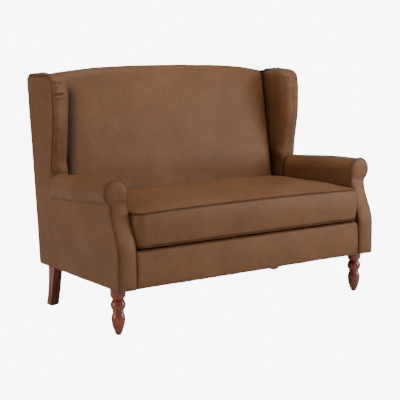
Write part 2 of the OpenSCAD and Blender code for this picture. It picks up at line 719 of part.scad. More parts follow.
// Arms: cover, foam, the padded front and its welt
module arm_space(g, over) {
    z0 = rail_top + seam_gap;
    roll(g, over);
    intersection() {
        block(arm_in_x + g, arm_in_x + arm_slab_t, 0, arm_end_y + over, z0 - over, scroll_z - roll_swell);
        across(0, half_w) polygon(concat(
            front_line(arm_front_t - over, z0 - 2 * over, scroll_z),
            [[arm_end_y + over, scroll_z - roll_drop(arm_end_y)], [arm_end_y + over, z0 - 2 * over]]));
    }
}
module arm_cover(side) {
    color("sienna") left_or_right(side) difference() {
        arm_space(0, 0);
        arm_space(cover_t, cut_over);
        arm_post_shape();
        block(arm_in_x + arm_slab_t - seam_gap, half_w, 0, arm_end_y, 0, scroll_z - 2 * scroll_r);
    }
}
module arm_foam(side) {
    color("khaki") left_or_right(side) difference() {
        arm_space(cover_t, 0);
        arm_post_shape();
        arm_rail_shape();
    }
}
module arm_front(side) {
    r = scroll_r - welt_d;
    ball = (pow(r, 2) + pow(arm_dome_h, 2)) / (2 * arm_dome_h);
    dome = [for (i = [0 : dome_steps]) let (a = asin(r / ball) * i / dome_steps)
        [ball * sin(a), ball * cos(a) - ball + arm_dome_h]];
    color("sienna") left_or_right(side) {
        intersection() {
            along(0, roll_y + arm_post_t) arm_outline(0, leg_h);
            scooped(0, arm_front_t, leg_h, scroll_z + scroll_r);
        }
        translate([scroll_x, front_y(scroll_z), scroll_z]) rotate([90, 0, 0])
            rotate_extrude($fn = round_fn) polygon(concat(dome, [[r, -seam_gap], [0, -seam_gap]]));
    }
}
scroll_steps = 20;
half_turn = 180;
module arm_welt(side) {
    r = scroll_r - welt_r;
    xo = half_w - welt_r;
    fx = xo + waist_r;
    fz = scroll_z - sqrt(pow(r + waist_r, 2) - pow(fx - scroll_x, 2));
    low = atan2(fz - scroll_z, fx - scroll_x);
    heights = scoop_heights(leg_h, fz);
    back_heights = scoop_heights(leg_h, scroll_z);
    flat = concat(
        [for (z = heights) [xo, z]],
        [for (i = [0 : scroll_steps]) let (a = low + (half_turn - low) * i / scroll_steps)
            [scroll_x + r * cos(a), scroll_z + r * sin(a)]],
        backwards([for (z = back_heights) if (z < scroll_z) [arm_in_x + welt_r, z]]));
    step = cut_over;
    path = [for (p = flat) let (slope = (front_y(p.y + step) - front_y(p.y - step)) / (2 * step),
            m = sqrt(1 + slope * slope))
        [p.x, front_y(p.y) - (welt_r + seam_gap) / m, p.y + (welt_r + seam_gap) * slope / m]];
    color("sienna") left_or_right(side) welt(path, false, [0, 1, 0]);
}

// Outside side panel, from the underside of the body to the top of the wing
module side_panel(side) {
    z0 = leg_h;
    color("saddlebrown") left_or_right(side) across(panel_x, half_w) polygon(concat(
        front_line(arm_front_t, z0, roll_under(roll_y) - seam_gap),
        [[wing_front_y, roll_under(wing_front_y) - seam_gap], [wing_front_y, wing_foot_z - seam_gap]],
        wing_front_line(welt_d, wing_foot_z - seam_gap),
        wing_crown_line(welt_d), wing_rear_line(welt_d), [[rear_y(z0), z0]]));
}

// Turned front legs: vase foot, ring, ball, neck and collar
vase_share = 0.36;
vase_r_share = 0.9;
ring_low_share = 0.473;
ring_high_share = 0.527;
ball_high_share = 0.758;
collar_share = 0.866;
foot_share = 0.39;
neck_share = 0.69;
ring_share = 0.745;
ball_share = 0.985;
turn_steps = 8;
glide_h = 4;
module front_leg(side) {
    h = frame_z;
    r = front_leg_r;
    shares = [for (i = [0 : turn_steps]) i / turn_steps];
    vase = [for (t = shares) [r * (foot_share + (vase_r_share - foot_share) * sin(90 * t)),
        glide_h + (h * vase_share - glide_h) * t]];
    shoulder = [for (t = shares) if (t > 0) [r * (neck_share + (vase_r_share - neck_share) * cos(90 * t)),
        h * (vase_share + (ring_low_share - vase_share) * t)]];
    ring = [for (t = shares) if (t > 0) [r * (neck_share + (ring_share - neck_share) * sin(180 * t)),
        h * (ring_low_share + (ring_high_share - ring_low_share) * t)]];
    ball = [for (t = shares) if (t > 0) [r * (neck_share + (ball_share - neck_share) * sin(180 * t)),
        h * (ring_high_share + (ball_high_share - ring_high_share) * t)]];
    collar = [for (t = shares) if (t > 0) [r * (neck_share + (1 - neck_share) * sin(90 * t)),
        h * (ball_high_share + (collar_share - ball_high_share) * t)]];
    color("brown") translate([(side < 0 ? -1 : 1) * (half_w - front_leg_inset_x), front_leg_y, 0])
        difference() {
            rotate_extrude($fn = round_fn)
                polygon(concat([[0, glide_h]], vase, shoulder, ring, ball, collar, [[r, h], [0, h]]));
            translate([0, 0, h - bolt_h]) cylinder(r = bolt_r, h = bolt_h + cut_over, $fn = round_fn);
        }
}

// Square rear legs swept backwards
leg_steps = 12;
front_sweep_share = 1.25;
back_sweep_share = 2.6;
foot_kick = 5;
rear_foot_y = rear_leg_y + rear_leg_sweep + foot_kick;
module rear_leg(side) {
    h = frame_z;
    shares = [for (i = [0 : leg_steps]) i / leg_steps];
    top_back = rear_leg_y + rear_leg_top_d;
    function height(t) = glide_h + (h - glide_h) * (1 - t);
    front = [for (t = shares)
        [rear_leg_y + (rear_foot_y - rear_leg_y) * pow(t, front_sweep_share), height(t)]];
    back = [for (t = backwards(shares))
        [top_back + (rear_foot_y + rear_foot_d - top_back) * pow(t, back_sweep_share), height(t)]];
    color("brown") left_or_right(side) difference() {
        across(rear_leg_x - rear_leg_w / 2, rear_leg_x + rear_leg_w / 2) polygon(concat(front, back));
        translate([rear_leg_x, rear_bolt_y, h - bolt_h])
            cylinder(r = bolt_r, h = bolt_h + cut_over, $fn = round_fn);
    }
}

// Bolts that hold the legs, their nuts, and the glides under the legs
glide_share = 0.8;
function leg_places() = [[half_w - front_leg_inset_x, front_leg_y], [rear_leg_x, rear_bolt_y]];
module leg_bolts() {
    color("silver") for (side = [-1, 1]) left_or_right(side) for (p = leg_places())
        translate([p.x, p.y, frame_z - bolt_h + fit_gap])
            cylinder(r = bolt_r - fit_gap, h = 2 * bolt_h - pad_t, $fn = round_fn);
}
module leg_nuts() {
    color("silver") for (side = [-1, 1]) left_or_right(side) for (i = [0 : 1]) let (p = leg_places()[i])
        translate([p.x, p.y, 0]) difference() {
            z = i == 0 ? frame_z + block_t : frame_z + nut_h;
            union() {
                translate([0, 0, z - nut_h]) cylinder(r = nut_r, h = nut_h, $fn = round_fn);
                if (i == 0) translate([0, 0, z]) intersection() {
                    cylinder(r = nut_flange_r, h = nut_flange_t, $fn = round_fn);
                    block(-nut_flange_r, post_x - p.x - fit_gap, -nut_flange_r, nut_flange_r,
                        0, nut_flange_t);
                }
            }
            cylinder(r = bolt_r, h = overall_h, $fn = round_fn);
        }
}
module leg_glides() {
    color("dimgray") for (side = [-1, 1]) left_or_right(side) {
        translate([half_w - front_leg_inset_x, front_leg_y, 0])
            cylinder(r = front_leg_r * foot_share * glide_share, h = glide_h, $fn = round_fn);
        translate([rear_leg_x, rear_foot_y + rear_foot_d / 2, 0])
            cylinder(r = rear_foot_d / 2 * glide_share, h = glide_h, $fn = round_fn);
    }
}

// Loose seat cushion: a bowed front, a bulging border between two welts, and a crowned top
welt_out_share = 0.7;
welt_out = welt_r + (welt_r + seam_gap) * welt_out_share;
cushion_half = arm_in_x - 2 * seam_gap - welt_out;
cushion_front = welt_out;
cushion_back_r = 14;
cushion_bulge = 4;
cushion_waist = 5;
cushion_bow = 8;
cushion_back_gap = 2 * seam_gap + welt_d;
border_rows = 4;
corner_steps = 4;
edge_steps = 6;
crown_power_share = 4;
crown_shares = [0.025, 0.08, 0.17, 0.32, 0.55];
function cushion_back(z) = back_y(z) - cushion_back_gap;
function corner(cx, cy, r, a0) = [for (i = [0 : corner_steps]) let (a = a0 + 90 * i / corner_steps)
    [cx + r * cos(a), cy + r * sin(a)]];
function between(a, b) = [for (i = [1 : edge_steps - 1]) a + (b - a) * i / edge_steps];
function cushion_plan(z, g) = let (
        h = cushion_half - g, y0 = cushion_front + g, y1 = cushion_back(z) - g,
        r = cushion_corner_r - g, q = cushion_back_r - g,
        c0 = corner(-h + r, y0 + r, r, 180), c1 = corner(h - r, y0 + r, r, 270),
        c2 = corner(h - q, y1 - q, q, 0), c3 = corner(-h + q, y1 - q, q, 90),
        last = corner_steps)
    concat(c0, between(c0[last], c1[0]), c1, between(c1[last], c2[0]),
        c2, between(c2[last], c3[0]), c3, between(c3[last], c0[0]));
function cushion_pinch(p, z) = let (
        t = 2 * (p.y - cushion_front) / (cushion_back(z) - cushion_front) - 1,
        w = max(0, 1 - t * t))
    [p.x * (1 - cushion_waist / cushion_half * w), p.y];
function cushion_lift(p) = cushion_bow * max(0, 1 - pow(p.x / cushion_half, 2));
border_low = cushion_z + under_h;
function cushion_ring(z, g, bulge, lift) = [for (p = cushion_plan(z, g - bulge))
    let (q = cushion_pinch(p, z)) [q.x, q.y, z + lift * cushion_lift(q)]];
function shrunk(ring, f, up) = let (c = middle(ring))
    [for (p = ring) [c.x + (p.x - c.x) * (1 - f), c.y + (p.y - c.y) * (1 - f), p.z + up]];
function cushion_rings(g) = let (
        z0 = border_low + g, z1 = border_low + cushion_border - g,
        low = cushion_ring(z0, g, 0, 0), high = cushion_ring(z1, g, 0, 1))
    concat(
        [for (f = backwards(crown_shares)) [for (p = shrunk(low, f, 0)) [p.x, p.y, cushion_z + g]]],
        [for (i = [0 : border_rows]) let (t = i / border_rows)
            cushion_ring(z0 + (z1 - z0) * t, g, cushion_bulge * sin(180 * t), t)],
        [for (f = crown_shares) shrunk(high, f, cushion_crown * (1 - pow(1 - f, crown_power_share)))]);
module cushion_core() { color("khaki") loft(cushion_rings(cover_t)); }
zip_w = 12;
zip_share = 0.6;
module zip_slot(g) {
    z = border_low + cushion_border / 2;
    w = cushion_half * zip_share;
    block(-w + g, w - g, cushion_back(z) - cushion_back_r, cushion_back(z) + cushion_back_gap,
        z - zip_w / 2 + g, z + zip_w / 2 - g);
}
module cushion_cover() {
    color("sienna") difference() {
        loft(cushion_rings(0));
        loft(cushion_rings(cover_t));
        zip_slot(0);
    }
}
module cushion_zip() {
    color("darkgoldenrod") difference() {
        intersection() {
            zip_slot(fit_gap);
            loft(cushion_rings(0));
        }
        loft(cushion_rings(cover_t));
    }
}
module cushion_welts() {
    off = (welt_r + seam_gap) * welt_out_share;
    z0 = border_low;
    z1 = border_low + cushion_border;
    color("sienna") {
        welt([for (p = cushion_ring(z0, -off, 0, 0)) p - [0, 0, off]], true, [0, 0, 1]);
        welt([for (p = cushion_ring(z1, -off, 0, 1)) p + [0, 0, off]], true, [0, 0, 1]);
    }
}

stand() front_rail();
stand() rear_rail();
stand() side_rail(-1);  // side_rail_left
stand() side_rail(1);  // side_rail_right
stand() seat_braces();
stand() corner_blocks();
stand() arm_post(-1);  // arm_post_left
stand() arm_post(1);  // arm_post_right
stand() arm_rail(-1);  // arm_rail_left
stand() arm_rail(1);  // arm_rail_right
stand() back_post(-1);  // back_post_left
stand() back_post(1);  // back_post_right
stand() crest_rail();
stand() back_lower_rail();
stand() wing_frame(-1);  // wing_frame_left
stand() wing_frame(1);  // wing_frame_right
stand() arm_boards();
stand() frame_dowels();
stand() seat_springs();
stand() spring_clips();
stand() spring_tie_wires();
stand() seat_pad();
stand() deck_cloth();
stand() back_webbing();
stand() back_foam();
stand() inside_back_cover();
stand() outside_back_cover();
stand() wing_foam(-1);  // wing_foam_left
stand() wing_foam(1);  // wing_foam_right
stand() wing_cover(-1);  // wing_cover_left
stand() wing_cover(1);  // wing_cover_right
stand() wing_welt(-1);  // wing_welt_left
stand() wing_welt(1);  // wing_welt_right
stand() arm_foam(-1);  // arm_foam_left
stand() arm_foam(1);  // arm_foam_right
stand() arm_cover(-1);  // arm_cover_left
stand() arm_cover(1);  // arm_cover_right
stand() arm_front(-1);  // arm_front_left
stand() arm_front(1);  // arm_front_right
stand() arm_welt(-1);  // arm_welt_left
stand() arm_welt(1);  // arm_welt_right
stand() side_panel(-1);  // side_panel_left
stand() side_panel(1);  // side_panel_right
stand() front_rail_pad();
stand() front_rail_cover();
stand() dust_cover();
stand() front_leg(-1);  // front_leg_left
stand() front_leg(1);  // front_leg_right
stand() rear_leg(-1);  // rear_leg_left
stand() rear_leg(1);  // rear_leg_right
stand() leg_bolts();
stand() leg_nuts();
stand() leg_glides();
stand() cushion_core();
stand() cushion_cover();
stand() cushion_welts();
stand() cushion_zip();
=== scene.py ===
"""Looks of a high back settee with wings, rolled arms and one loose seat cushion.

Metres. Points are written from the middle of the settee (x), its front plane (y, backwards)
and the floor (z). Left and right are as seen from the front.
"""
import json
from math import atan2, copysign, cos, dist, exp, hypot, pi, radians, sin, sqrt, tan

import bmesh
import bpy
import numpy as np
from mathutils import Matrix, Vector, geometry, noise


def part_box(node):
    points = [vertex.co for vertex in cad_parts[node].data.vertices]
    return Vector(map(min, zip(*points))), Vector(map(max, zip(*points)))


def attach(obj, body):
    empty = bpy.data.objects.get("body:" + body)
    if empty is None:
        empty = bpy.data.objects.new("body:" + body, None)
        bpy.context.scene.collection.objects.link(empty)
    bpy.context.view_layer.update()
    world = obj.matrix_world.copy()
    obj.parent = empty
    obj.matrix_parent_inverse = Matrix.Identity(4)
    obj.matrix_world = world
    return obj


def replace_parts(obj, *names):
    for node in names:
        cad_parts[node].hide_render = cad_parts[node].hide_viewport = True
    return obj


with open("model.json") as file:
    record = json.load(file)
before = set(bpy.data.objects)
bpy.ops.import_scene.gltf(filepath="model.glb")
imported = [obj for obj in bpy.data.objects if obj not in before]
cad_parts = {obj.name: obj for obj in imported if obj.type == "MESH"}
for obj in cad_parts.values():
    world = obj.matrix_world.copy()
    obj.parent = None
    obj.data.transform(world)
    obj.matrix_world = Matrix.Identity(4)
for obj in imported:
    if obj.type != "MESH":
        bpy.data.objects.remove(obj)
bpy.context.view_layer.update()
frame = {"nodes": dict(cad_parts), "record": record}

scene = bpy.context.scene

# Sizes that the construction gives
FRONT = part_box("arm_welt_left")[0].y
HALF_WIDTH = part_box("side_panel_right")[1].x
BODY_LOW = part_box("side_panel_right")[0].z
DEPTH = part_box("side_panel_right")[1].y - FRONT
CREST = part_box("inside_back_cover")[1].z
ARM_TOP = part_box("arm_front_right")[1].z
ROLL_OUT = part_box("arm_front_right")[1].x
ARM_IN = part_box("arm_front_right")[0].x
CUSHION_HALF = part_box("cushion_cover")[1].x
CUSHION_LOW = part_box("cushion_cover")[0].z
RAIL_TOP = CUSHION_LOW - 0.0003

# The body in side view
SCROLL_R = (ROLL_OUT - ARM_IN) / 2
SCROLL_X = ARM_IN + SCROLL_R
SCROLL_Z = ARM_TOP - SCROLL_R
FACE = 0.0073
ARM_SETBACK = 0.057
SCOOP_LOW = RAIL_TOP - 0.014
SCOOP_HIGH = SCROLL_Z - SCROLL_R
ARM_FALL = tan(radians(3.1))
ROLL_SWELL = 0.0045
SEAT_TOP = 0.4833
SEAT_DEPTH = 0.594
BACK_LEAN = 0.2179
REAR_LEAN = tan(radians(5.3))
REAR_FOOT = 0.701
WING_FRONT = 0.557
WING_SWELL = 0.030
WING_TOP = 1.008
WING_DROP = 0.006
WING_TOP_FLAT = 0.041
CORNER_DEEP, CORNER_TALL = 0.070, 0.040
SEAM_IN = 0.0075
REAR_TOP = WING_TOP - WING_DROP - SEAM_IN
ARM_START, ARM_END = 0.064, 0.5567
WAIST_R = 0.014

# Where the curves of the body start and how far they run. Shares are of the height of a wing
ROLL_SWELL_FROM, ROLL_SWELL_RUN = 0.07, 0.16
NOSE_FROM_SHARE, NOSE_RUN_SHARE = 0.05, 0.62
NOSE_LEAN_FROM_SHARE, NOSE_LEAN = 0.8, 0.18
WING_DIP, WING_DIP_FROM, WING_DIP_RUN = 0.021, 0.035, 0.15
CREST_DROP, CREST_HALF, CREST_POWER = 0.033, 0.590, 3.0
BACK_HALF, BACK_HALF_AT, BACK_WIDENS = 0.563, 0.507, 0.0426
CREASE_FROM, CREASE_RUN = 0.40, 0.06
BEHIND_WING = 0.002

# Piping: its radius, how far it lies inside an edge, and the spacing of its points
PIPING_R, CUSHION_PIPING_R = 0.0023, 0.0019
PIPING_IN, PIPING_STEP = 0.0012, 0.006

BODY, CUSHION = "settee_body", "seat_cushion"


# Shape of the settee

def smooth(t):
    """A smooth step from 0 to 1."""
    t = min(1.0, max(0.0, t))
    return t * t * (3 - 2 * t)


def mix(a, b, t):
    return a + (b - a) * t


def side_name(side):
    return "left" if side < 0 else "right"


def front_at(z):
    """The swept front of an arm at a height."""
    return FACE + ARM_SETBACK * smooth((z - SCOOP_LOW) / (SCOOP_HIGH - SCOOP_LOW))


def back_at(z):
    """The inside back at a height, without its fullness."""
    return SEAT_DEPTH + (z - SEAT_TOP) * BACK_LEAN


def rear_at(z):
    """The outside back at a height."""
    return REAR_FOOT + (z - BODY_LOW) * REAR_LEAN


def roll_fall(y):
    """How far the roll of an arm has come down on its way to the back."""
    return (y - front_at(SCROLL_Z)) * ARM_FALL


def roll_full(y):
    """The extra padding over and under the roll of an arm."""
    return ROLL_SWELL * smooth((y - ROLL_SWELL_FROM) / ROLL_SWELL_RUN)


def roll_meets(y):
    """Height where the underside of the roll passes the plane of the side panel."""
    across = (HALF_WIDTH - SCROLL_X) / SCROLL_R
    return SCROLL_Z - roll_fall(y) - sqrt(1 - across ** 2) * (SCROLL_R + roll_full(y))


def wing_nose(z):
    """The front edge of a wing in side view, which swells forwards near the top."""
    low = SCROLL_Z + SCROLL_R
    tall = WING_TOP - low
    swell = smooth((z - low + NOSE_FROM_SHARE * tall) / (NOSE_RUN_SHARE * tall))
    lean = max(0.0, z - low - NOSE_LEAN_FROM_SHARE * tall) * NOSE_LEAN
    return WING_FRONT - WING_SWELL * swell + lean


def wing_front_at(z, inset=0.0):
    """The same with the soft upper corner, and drawn in by an inset."""
    deep, tall = CORNER_DEEP - inset, CORNER_TALL - inset
    t = min(1.0, max(0.0, (z - WING_TOP + inset + tall) / tall))
    return wing_nose(min(z, WING_TOP - CORNER_TALL)) + inset + deep * (1 - sqrt(1 - t * t))


def corner_facing(z):
    """The way that the front edge of a wing faces at a height: (forwards, upwards)."""
    t = min(1.0, max(0.0, (z - WING_TOP + CORNER_TALL) / CORNER_TALL))
    ahead, up = sqrt(1 - t * t) / CORNER_DEEP, t / CORNER_TALL
    length = hypot(ahead, up)
    return ahead / length, up / length


def wing_dip(y):
    """How far the inner edge of a wing's top sinks towards the back."""
    return WING_DIP * smooth((y - WING_FRONT - WING_DIP_FROM) / WING_DIP_RUN)


def wing_top_at(y):
    """The top of a wing at its outer seam."""
    run = (y - WING_FRONT - WING_TOP_FLAT) / (DEPTH - WING_FRONT - WING_TOP_FLAT)
    return WING_TOP - WING_DROP * max(0.0, run) ** 2


def crest_at(x):
    """The top of the back, highest in the middle."""
    return CREST - CREST_DROP * abs(x / CREST_HALF) ** CREST_POWER


def back_half_at(z):
    """Half the width of the inside back at a height."""
    return BACK_HALF + BACK_WIDENS * (z - BACK_HALF_AT)


def above_seat(z):
    """0 low down behind the cushion and 1 above, where the creases beside the wings are deep."""
    return smooth((z - CREASE_FROM) / CREASE_RUN)


def stations(length, spacing, first=(0.0012, 0.004, 0.009, 0.016), both=True):
    """Places along a length as shares of it, closer together at the ends, where leather turns."""
    ends = [f for f in first if f < length * 0.4]
    low = ends[-1] if ends else 0.0
    high = length - low if both else length
    count = max(1, round((high - low) / spacing))
    middle = [mix(low, high, i / count) for i in range(count + 1)]
    tail = [length - f for f in reversed(ends[:-1])] if both else []
    places = [0.0] + ends[:-1] + middle + tail + ([length] if both else [])
    return sorted({round(p / length, 6) for p in places})


def quarter_turn(steps, first=0):
    """Angles of a quarter turn in even steps."""
    return [radians(90 * i / steps) for i in range(first, steps + 1)]


# Making pieces

def place(point):
    """A point of this script in the frame of the part."""
    return Vector((point[0], point[1] + FRONT, point[2]))


def placed(line):
    return np.array([place(p)[:] for p in line])


def corners_of(mesh):
    return np.array([v.co[:] for v in mesh.vertices])


def grid(row_list):
    """Points and four-sided faces of a grid of points."""
    points = [p for row in row_list for p in row]
    width = len(row_list[0])
    faces = []
    for i in range(len(row_list) - 1):
        for j in range(width - 1):
            a = i * width + j
            faces.append((a, a + 1, a + 1 + width, a + width))
    return points, faces


def add_object(name, data):
    made = bpy.data.objects.new(name, data)
    scene.collection.objects.link(made)
    return made


def keep(shape, name):
    """Turns a worked shape into a piece of the scene."""
    mesh = bpy.data.meshes.new(name)
    shape.to_mesh(mesh)
    shape.free()
    return add_object(name, mesh)


def sew(name, patches, outward, weld=0.0004):
    """Joins patches, each (points, faces), into one surface that faces outward."""
    shape = bmesh.new()
    for points, faces in patches:
        corners = [shape.verts.new(place(p)) for p in points]
        for face in faces:
            if len(set(face)) > 2:
                shape.faces.new([corners[i] for i in face])
    bmesh.ops.remove_doubles(shape, verts=shape.verts, dist=weld)
    bmesh.ops.dissolve_degenerate(shape, edges=shape.edges, dist=weld / 4)
    bmesh.ops.recalc_face_normals(shape, faces=shape.faces)
    facing = sum((f.normal * f.calc_area() for f in shape.faces), Vector())
    if outward is not None and facing.dot(Vector(outward)) < 0:
        bmesh.ops.reverse_faces(shape, faces=shape.faces)
    return keep(shape, name)


def line_distance(points, line):
    """Distance of each point to a line of points, and how far along the line it is nearest."""
    best = np.full(len(points), 1e9)
    along = np.zeros(len(points))
    walked = 0.0
    for a, b in zip(line[:-1], line[1:]):
        step = b - a
        length = float(np.linalg.norm(step))
        if length < 1e-9:
            continue
        t = np.clip(((points - a) @ step) / length ** 2, 0, 1)
        far = np.linalg.norm(points - a - t[:, None] * step, axis=1)
        nearer = far < best
        best[nearer] = far[nearer]
        along[nearer] = walked + t[nearer] * length
        walked += length
    return best, along


# How dark the seams are painted, for dirt and painted shade together, and how dark the dents of folds
# are painted, as painted shade
SEAM_DIRT_AND_SHADE, FOLD_PAINTED_SHADE = 0.45, 0.35
SINK_POWER = 2.2

# Puckers: where they start, the least that counts, how fast they change across and along a seam,
# and what sets one seam of a piece off from the next
PUCKER_START, PUCKER_LEAST, PUCKER_ACROSS, PUCKER_SLOW = 0.006, 0.04, 6, 0.17
SEAM_OFFSETS = (7.3, 4.1)

# Folds: the lip beside the dent, and how their ends fade
LIP_HEIGHT, LIP_AWAY = 0.45, 1.9
FADE_END, FADE_POWER = 0.04, 0.7
FINE_SHARE = 0.3


def work(piece, seams, *, sink, pucker, loose, seed, sink_width=0.012, pucker_reach=0.03,
         pucker_length=0.022, loose_length=0.13, folds=(), shade=0.007, deep=()):
    """Gives leather its hand: it dips at the seams, puckers beside them and lies a little uneven. Each
    fold is a line of points with its depth and width: a dent with a raised lip beside it, and painted
    shade in the dent. Each deep crease is a line of points with the reach and the strength of the
    painted shade beside it. Beside the seams the colour is darkened, for dirt and painted shade
    together."""
    mesh = piece.data
    count = len(mesh.vertices)
    points = corners_of(mesh)
    normals = np.array([v.normal[:] for v in mesh.vertices])
    push = np.zeros(count)
    shade_and_dirt = np.zeros(count)
    for number, seam in enumerate(seams):
        far, along = line_distance(points, placed(seam))
        inside = np.clip(1 - far / sink_width, 0, 1)
        push -= sink * inside ** SINK_POWER
        shade_and_dirt = np.maximum(shade_and_dirt, SEAM_DIRT_AND_SHADE * np.exp(-far / shade))
        near = np.exp(-far / pucker_reach) * np.clip(far / PUCKER_START, 0, 1)
        for i in np.nonzero(near > PUCKER_LEAST)[0]:
            s = along[i] / pucker_length
            wave = noise.noise((s, seed + SEAM_OFFSETS[0] * number, far[i] * PUCKER_ACROSS))
            slow = noise.noise((s * PUCKER_SLOW, seed - SEAM_OFFSETS[1] * number, 3.0))
            strength = 0.5 + 0.5 * slow
            push[i] += pucker * 2 * wave * strength * near[i]
    # Deep creases: painted shade, strongest on the line and fading over its reach
    for line, reach, strength in deep:
        far, _ = line_distance(points, placed(line))
        shade_and_dirt = np.maximum(shade_and_dirt, strength * np.exp(-(far / reach) ** 2))
    for seam, dent_deep, wide in folds:
        line = placed(seam)
        far, along = line_distance(points, line)
        length = sum(float(np.linalg.norm(b - a)) for a, b in zip(line[:-1], line[1:]))
        fade = np.sin(np.pi * np.clip(along / length, FADE_END, 1 - FADE_END)) ** FADE_POWER
        lip = LIP_HEIGHT * np.exp(-((far - LIP_AWAY * wide) / wide) ** 2)
        push -= dent_deep * (np.exp(-(far / wide) ** 2) - lip) * fade
        shade_and_dirt = np.maximum(shade_and_dirt, FOLD_PAINTED_SHADE * np.exp(-(far / wide) ** 2) * fade)
    for i in range(count):
        p = points[i] / loose_length
        q = points[i] / (loose_length * FINE_SHARE)
        push[i] += loose * noise.noise((p[0] + seed, p[1], p[2]))
        push[i] += loose * FINE_SHARE * noise.noise((q[0], q[1] + seed, q[2]))
    moved = points + normals * push[:, None]
    mesh.vertices.foreach_set("co", moved.astype(np.float32).ravel())
    # The attribute carries the dirt and the painted shade to the material
    marks = mesh.attributes.new("seam_shade_and_dirt", "FLOAT", "POINT")
    marks.data.foreach_set("value", shade_and_dirt.astype(np.float32))
    mesh.update()


def edge_back(piece, direction, deep):
    """Turns the open edge of a skin back, so that no gap shows behind it."""
    shape = bmesh.new()
    shape.from_mesh(piece.data)
    rim = [e for e in shape.edges if e.is_boundary]
    grown = bmesh.ops.extrude_edge_only(shape, edges=rim)["geom"]
    bmesh.ops.translate(shape, verts=[g for g in grown if isinstance(g, bmesh.types.BMVert)],
                        vec=Vector(direction) * deep)
    bmesh.ops.recalc_face_normals(shape, faces=shape.faces)
    shape.to_mesh(piece.data)
    shape.free()


def finish(piece, material, body=BODY, rounds=1):
    """Smooth faces, a material, a subdivision when rounds asks for one, and the body that carries it.
    """
    for face in piece.data.polygons:
        face.use_smooth = True
    piece.data.materials.clear()
    piece.data.materials.append(material)
    if rounds:
        smoother = piece.modifiers.new("soft", "SUBSURF")
        smoother.levels = rounds
        smoother.render_levels = rounds
        smoother.boundary_smooth = "PRESERVE_CORNERS"
    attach(piece, body)
    return piece


PIPING_SIDES = 10


def tube(name, line, radius, closed=False):
    """A round piping along a line of points."""
    sides = PIPING_SIDES
    line = [place(p) for p in line]
    count = len(line)
    shape = bmesh.new()
    rings = []
    last_side = None
    for i, here in enumerate(line):
        after = line[(i + 1) % count] if closed or i < count - 1 else here
        before = line[i - 1] if closed or i > 0 else here
        ahead = (after - before).normalized()
        if last_side is None:
            start = Vector((0, 0, 1)) if abs(ahead.z) < 0.9 else Vector((0, 1, 0))
            last_side = ahead.cross(start).normalized()
        last_side = (last_side - ahead * last_side.dot(ahead)).normalized()
        other = ahead.cross(last_side)
        turns = [2 * pi * k / sides for k in range(sides)]
        rings.append([shape.verts.new(here + radius * (last_side * cos(a) + other * sin(a)))
                      for a in turns])
    pairs = list(zip(rings, rings[1:])) + ([(rings[-1], rings[0])] if closed else [])
    for a, b in pairs:
        for k in range(sides):
            beside = (k + 1) % sides
            shape.faces.new((a[k], a[beside], b[beside], b[k]))
    if not closed:
        shape.faces.new(rings[0])
        shape.faces.new(rings[-1])
    bmesh.ops.recalc_face_normals(shape, faces=shape.faces)
    return keep(shape, name)


def even(line, spacing, closed=False):
    """The same line with points at an even spacing."""
    points = [Vector(p) for p in line] + ([Vector(line[0])] if closed else [])
    lengths = [0.0]
    for a, b in zip(points, points[1:]):
        lengths.append(lengths[-1] + (b - a).length)
    count = max(2, round(lengths[-1] / spacing))
    out = []
    k = 0
    for i in range(count if closed else count + 1):
        s = lengths[-1] * i / count
        while k < len(points) - 2 and lengths[k + 1] < s:
            k += 1
        t = (s - lengths[k]) / max(1e-9, lengths[k + 1] - lengths[k])
        out.append(tuple(points[k].lerp(points[k + 1], t)))
    return out


def inset_line(line, far):
    """A closed flat line moved inwards, to its left as it runs."""
    out = []
    count = len(line)
    for i in range(count):
        before, here, after = Vector(line[i - 1]), Vector(line[i]), Vector(line[(i + 1) % count])
        ahead = (after - before).normalized()
        out.append(here + Vector((-ahead.y, ahead.x)) * far)
    return out


def inside_line(point, line):
    """Whether a point lies inside a closed flat line."""
    found = False
    x, y = point
    for a, b in zip(line, line[1:] + line[:1]):
        if (a[1] > y) != (b[1] > y) and x < a[0] + (y - a[1]) * (b[0] - a[0]) / (b[1] - a[1]):
            found = not found
    return found


EDGE_RINGS = (0.0012, 0.0035, 0.007, 0.012)
CORE_GAP_SHARE, ROW_SHARE = 0.6, 0.87


def flat_fill(outline, spacing):
    """Points and triangles inside a closed flat line that runs anticlockwise, finer at its edge."""
    rings = [[Vector(p) for p in outline]] + [inset_line(outline, far) for far in EDGE_RINGS]
    points = [p for ring in rings for p in ring]
    core = [tuple(p) for p in inset_line(outline, EDGE_RINGS[-1] + spacing * CORE_GAP_SHARE)]
    xs = [p[0] for p in outline]
    ys = [p[1] for p in outline]
    row = 0
    y = min(ys) + spacing / 2
    while y < max(ys):
        x = min(xs) + (spacing / 2 if row % 2 else 0)
        while x < max(xs):
            if inside_line((x, y), core):
                points.append(Vector((x, y)))
            x += spacing
        y += spacing * ROW_SHARE
        row += 1
    count = len(outline)
    edges = [(i, (i + 1) % count) for i in range(count)]
    found, _, triangles, *_ = geometry.delaunay_2d_cdt(points, edges, [], 1, 1e-6)
    return [tuple(p) for p in found], [tuple(t) for t in triangles]


def rim_distance(point, line):
    """Distance of a point to a closed flat line."""
    best = 1e9
    for a, b in zip(line, line[1:] + line[:1]):
        near, share = geometry.intersect_point_line(point, a, b)
        near = a if share < 0 else b if share > 1 else near
        best = min(best, (point - Vector(near[:2])).length)
    return best


# Materials

def feed(tree, socket, value):
    """Gives an input its value, or links the socket that brings it."""
    if isinstance(value, bpy.types.NodeSocket):
        tree.links.new(value, socket)
    else:
        socket.default_value = value


def node(tree, kind, inputs=(), **settings):
    made = tree.nodes.new(kind if kind.startswith("NodeGroup") else "ShaderNode" + kind)
    for key, value in settings.items():
        setattr(made, key, value)
    for label, value in dict(inputs).items():
        feed(tree, made.inputs[label], value)
    return made


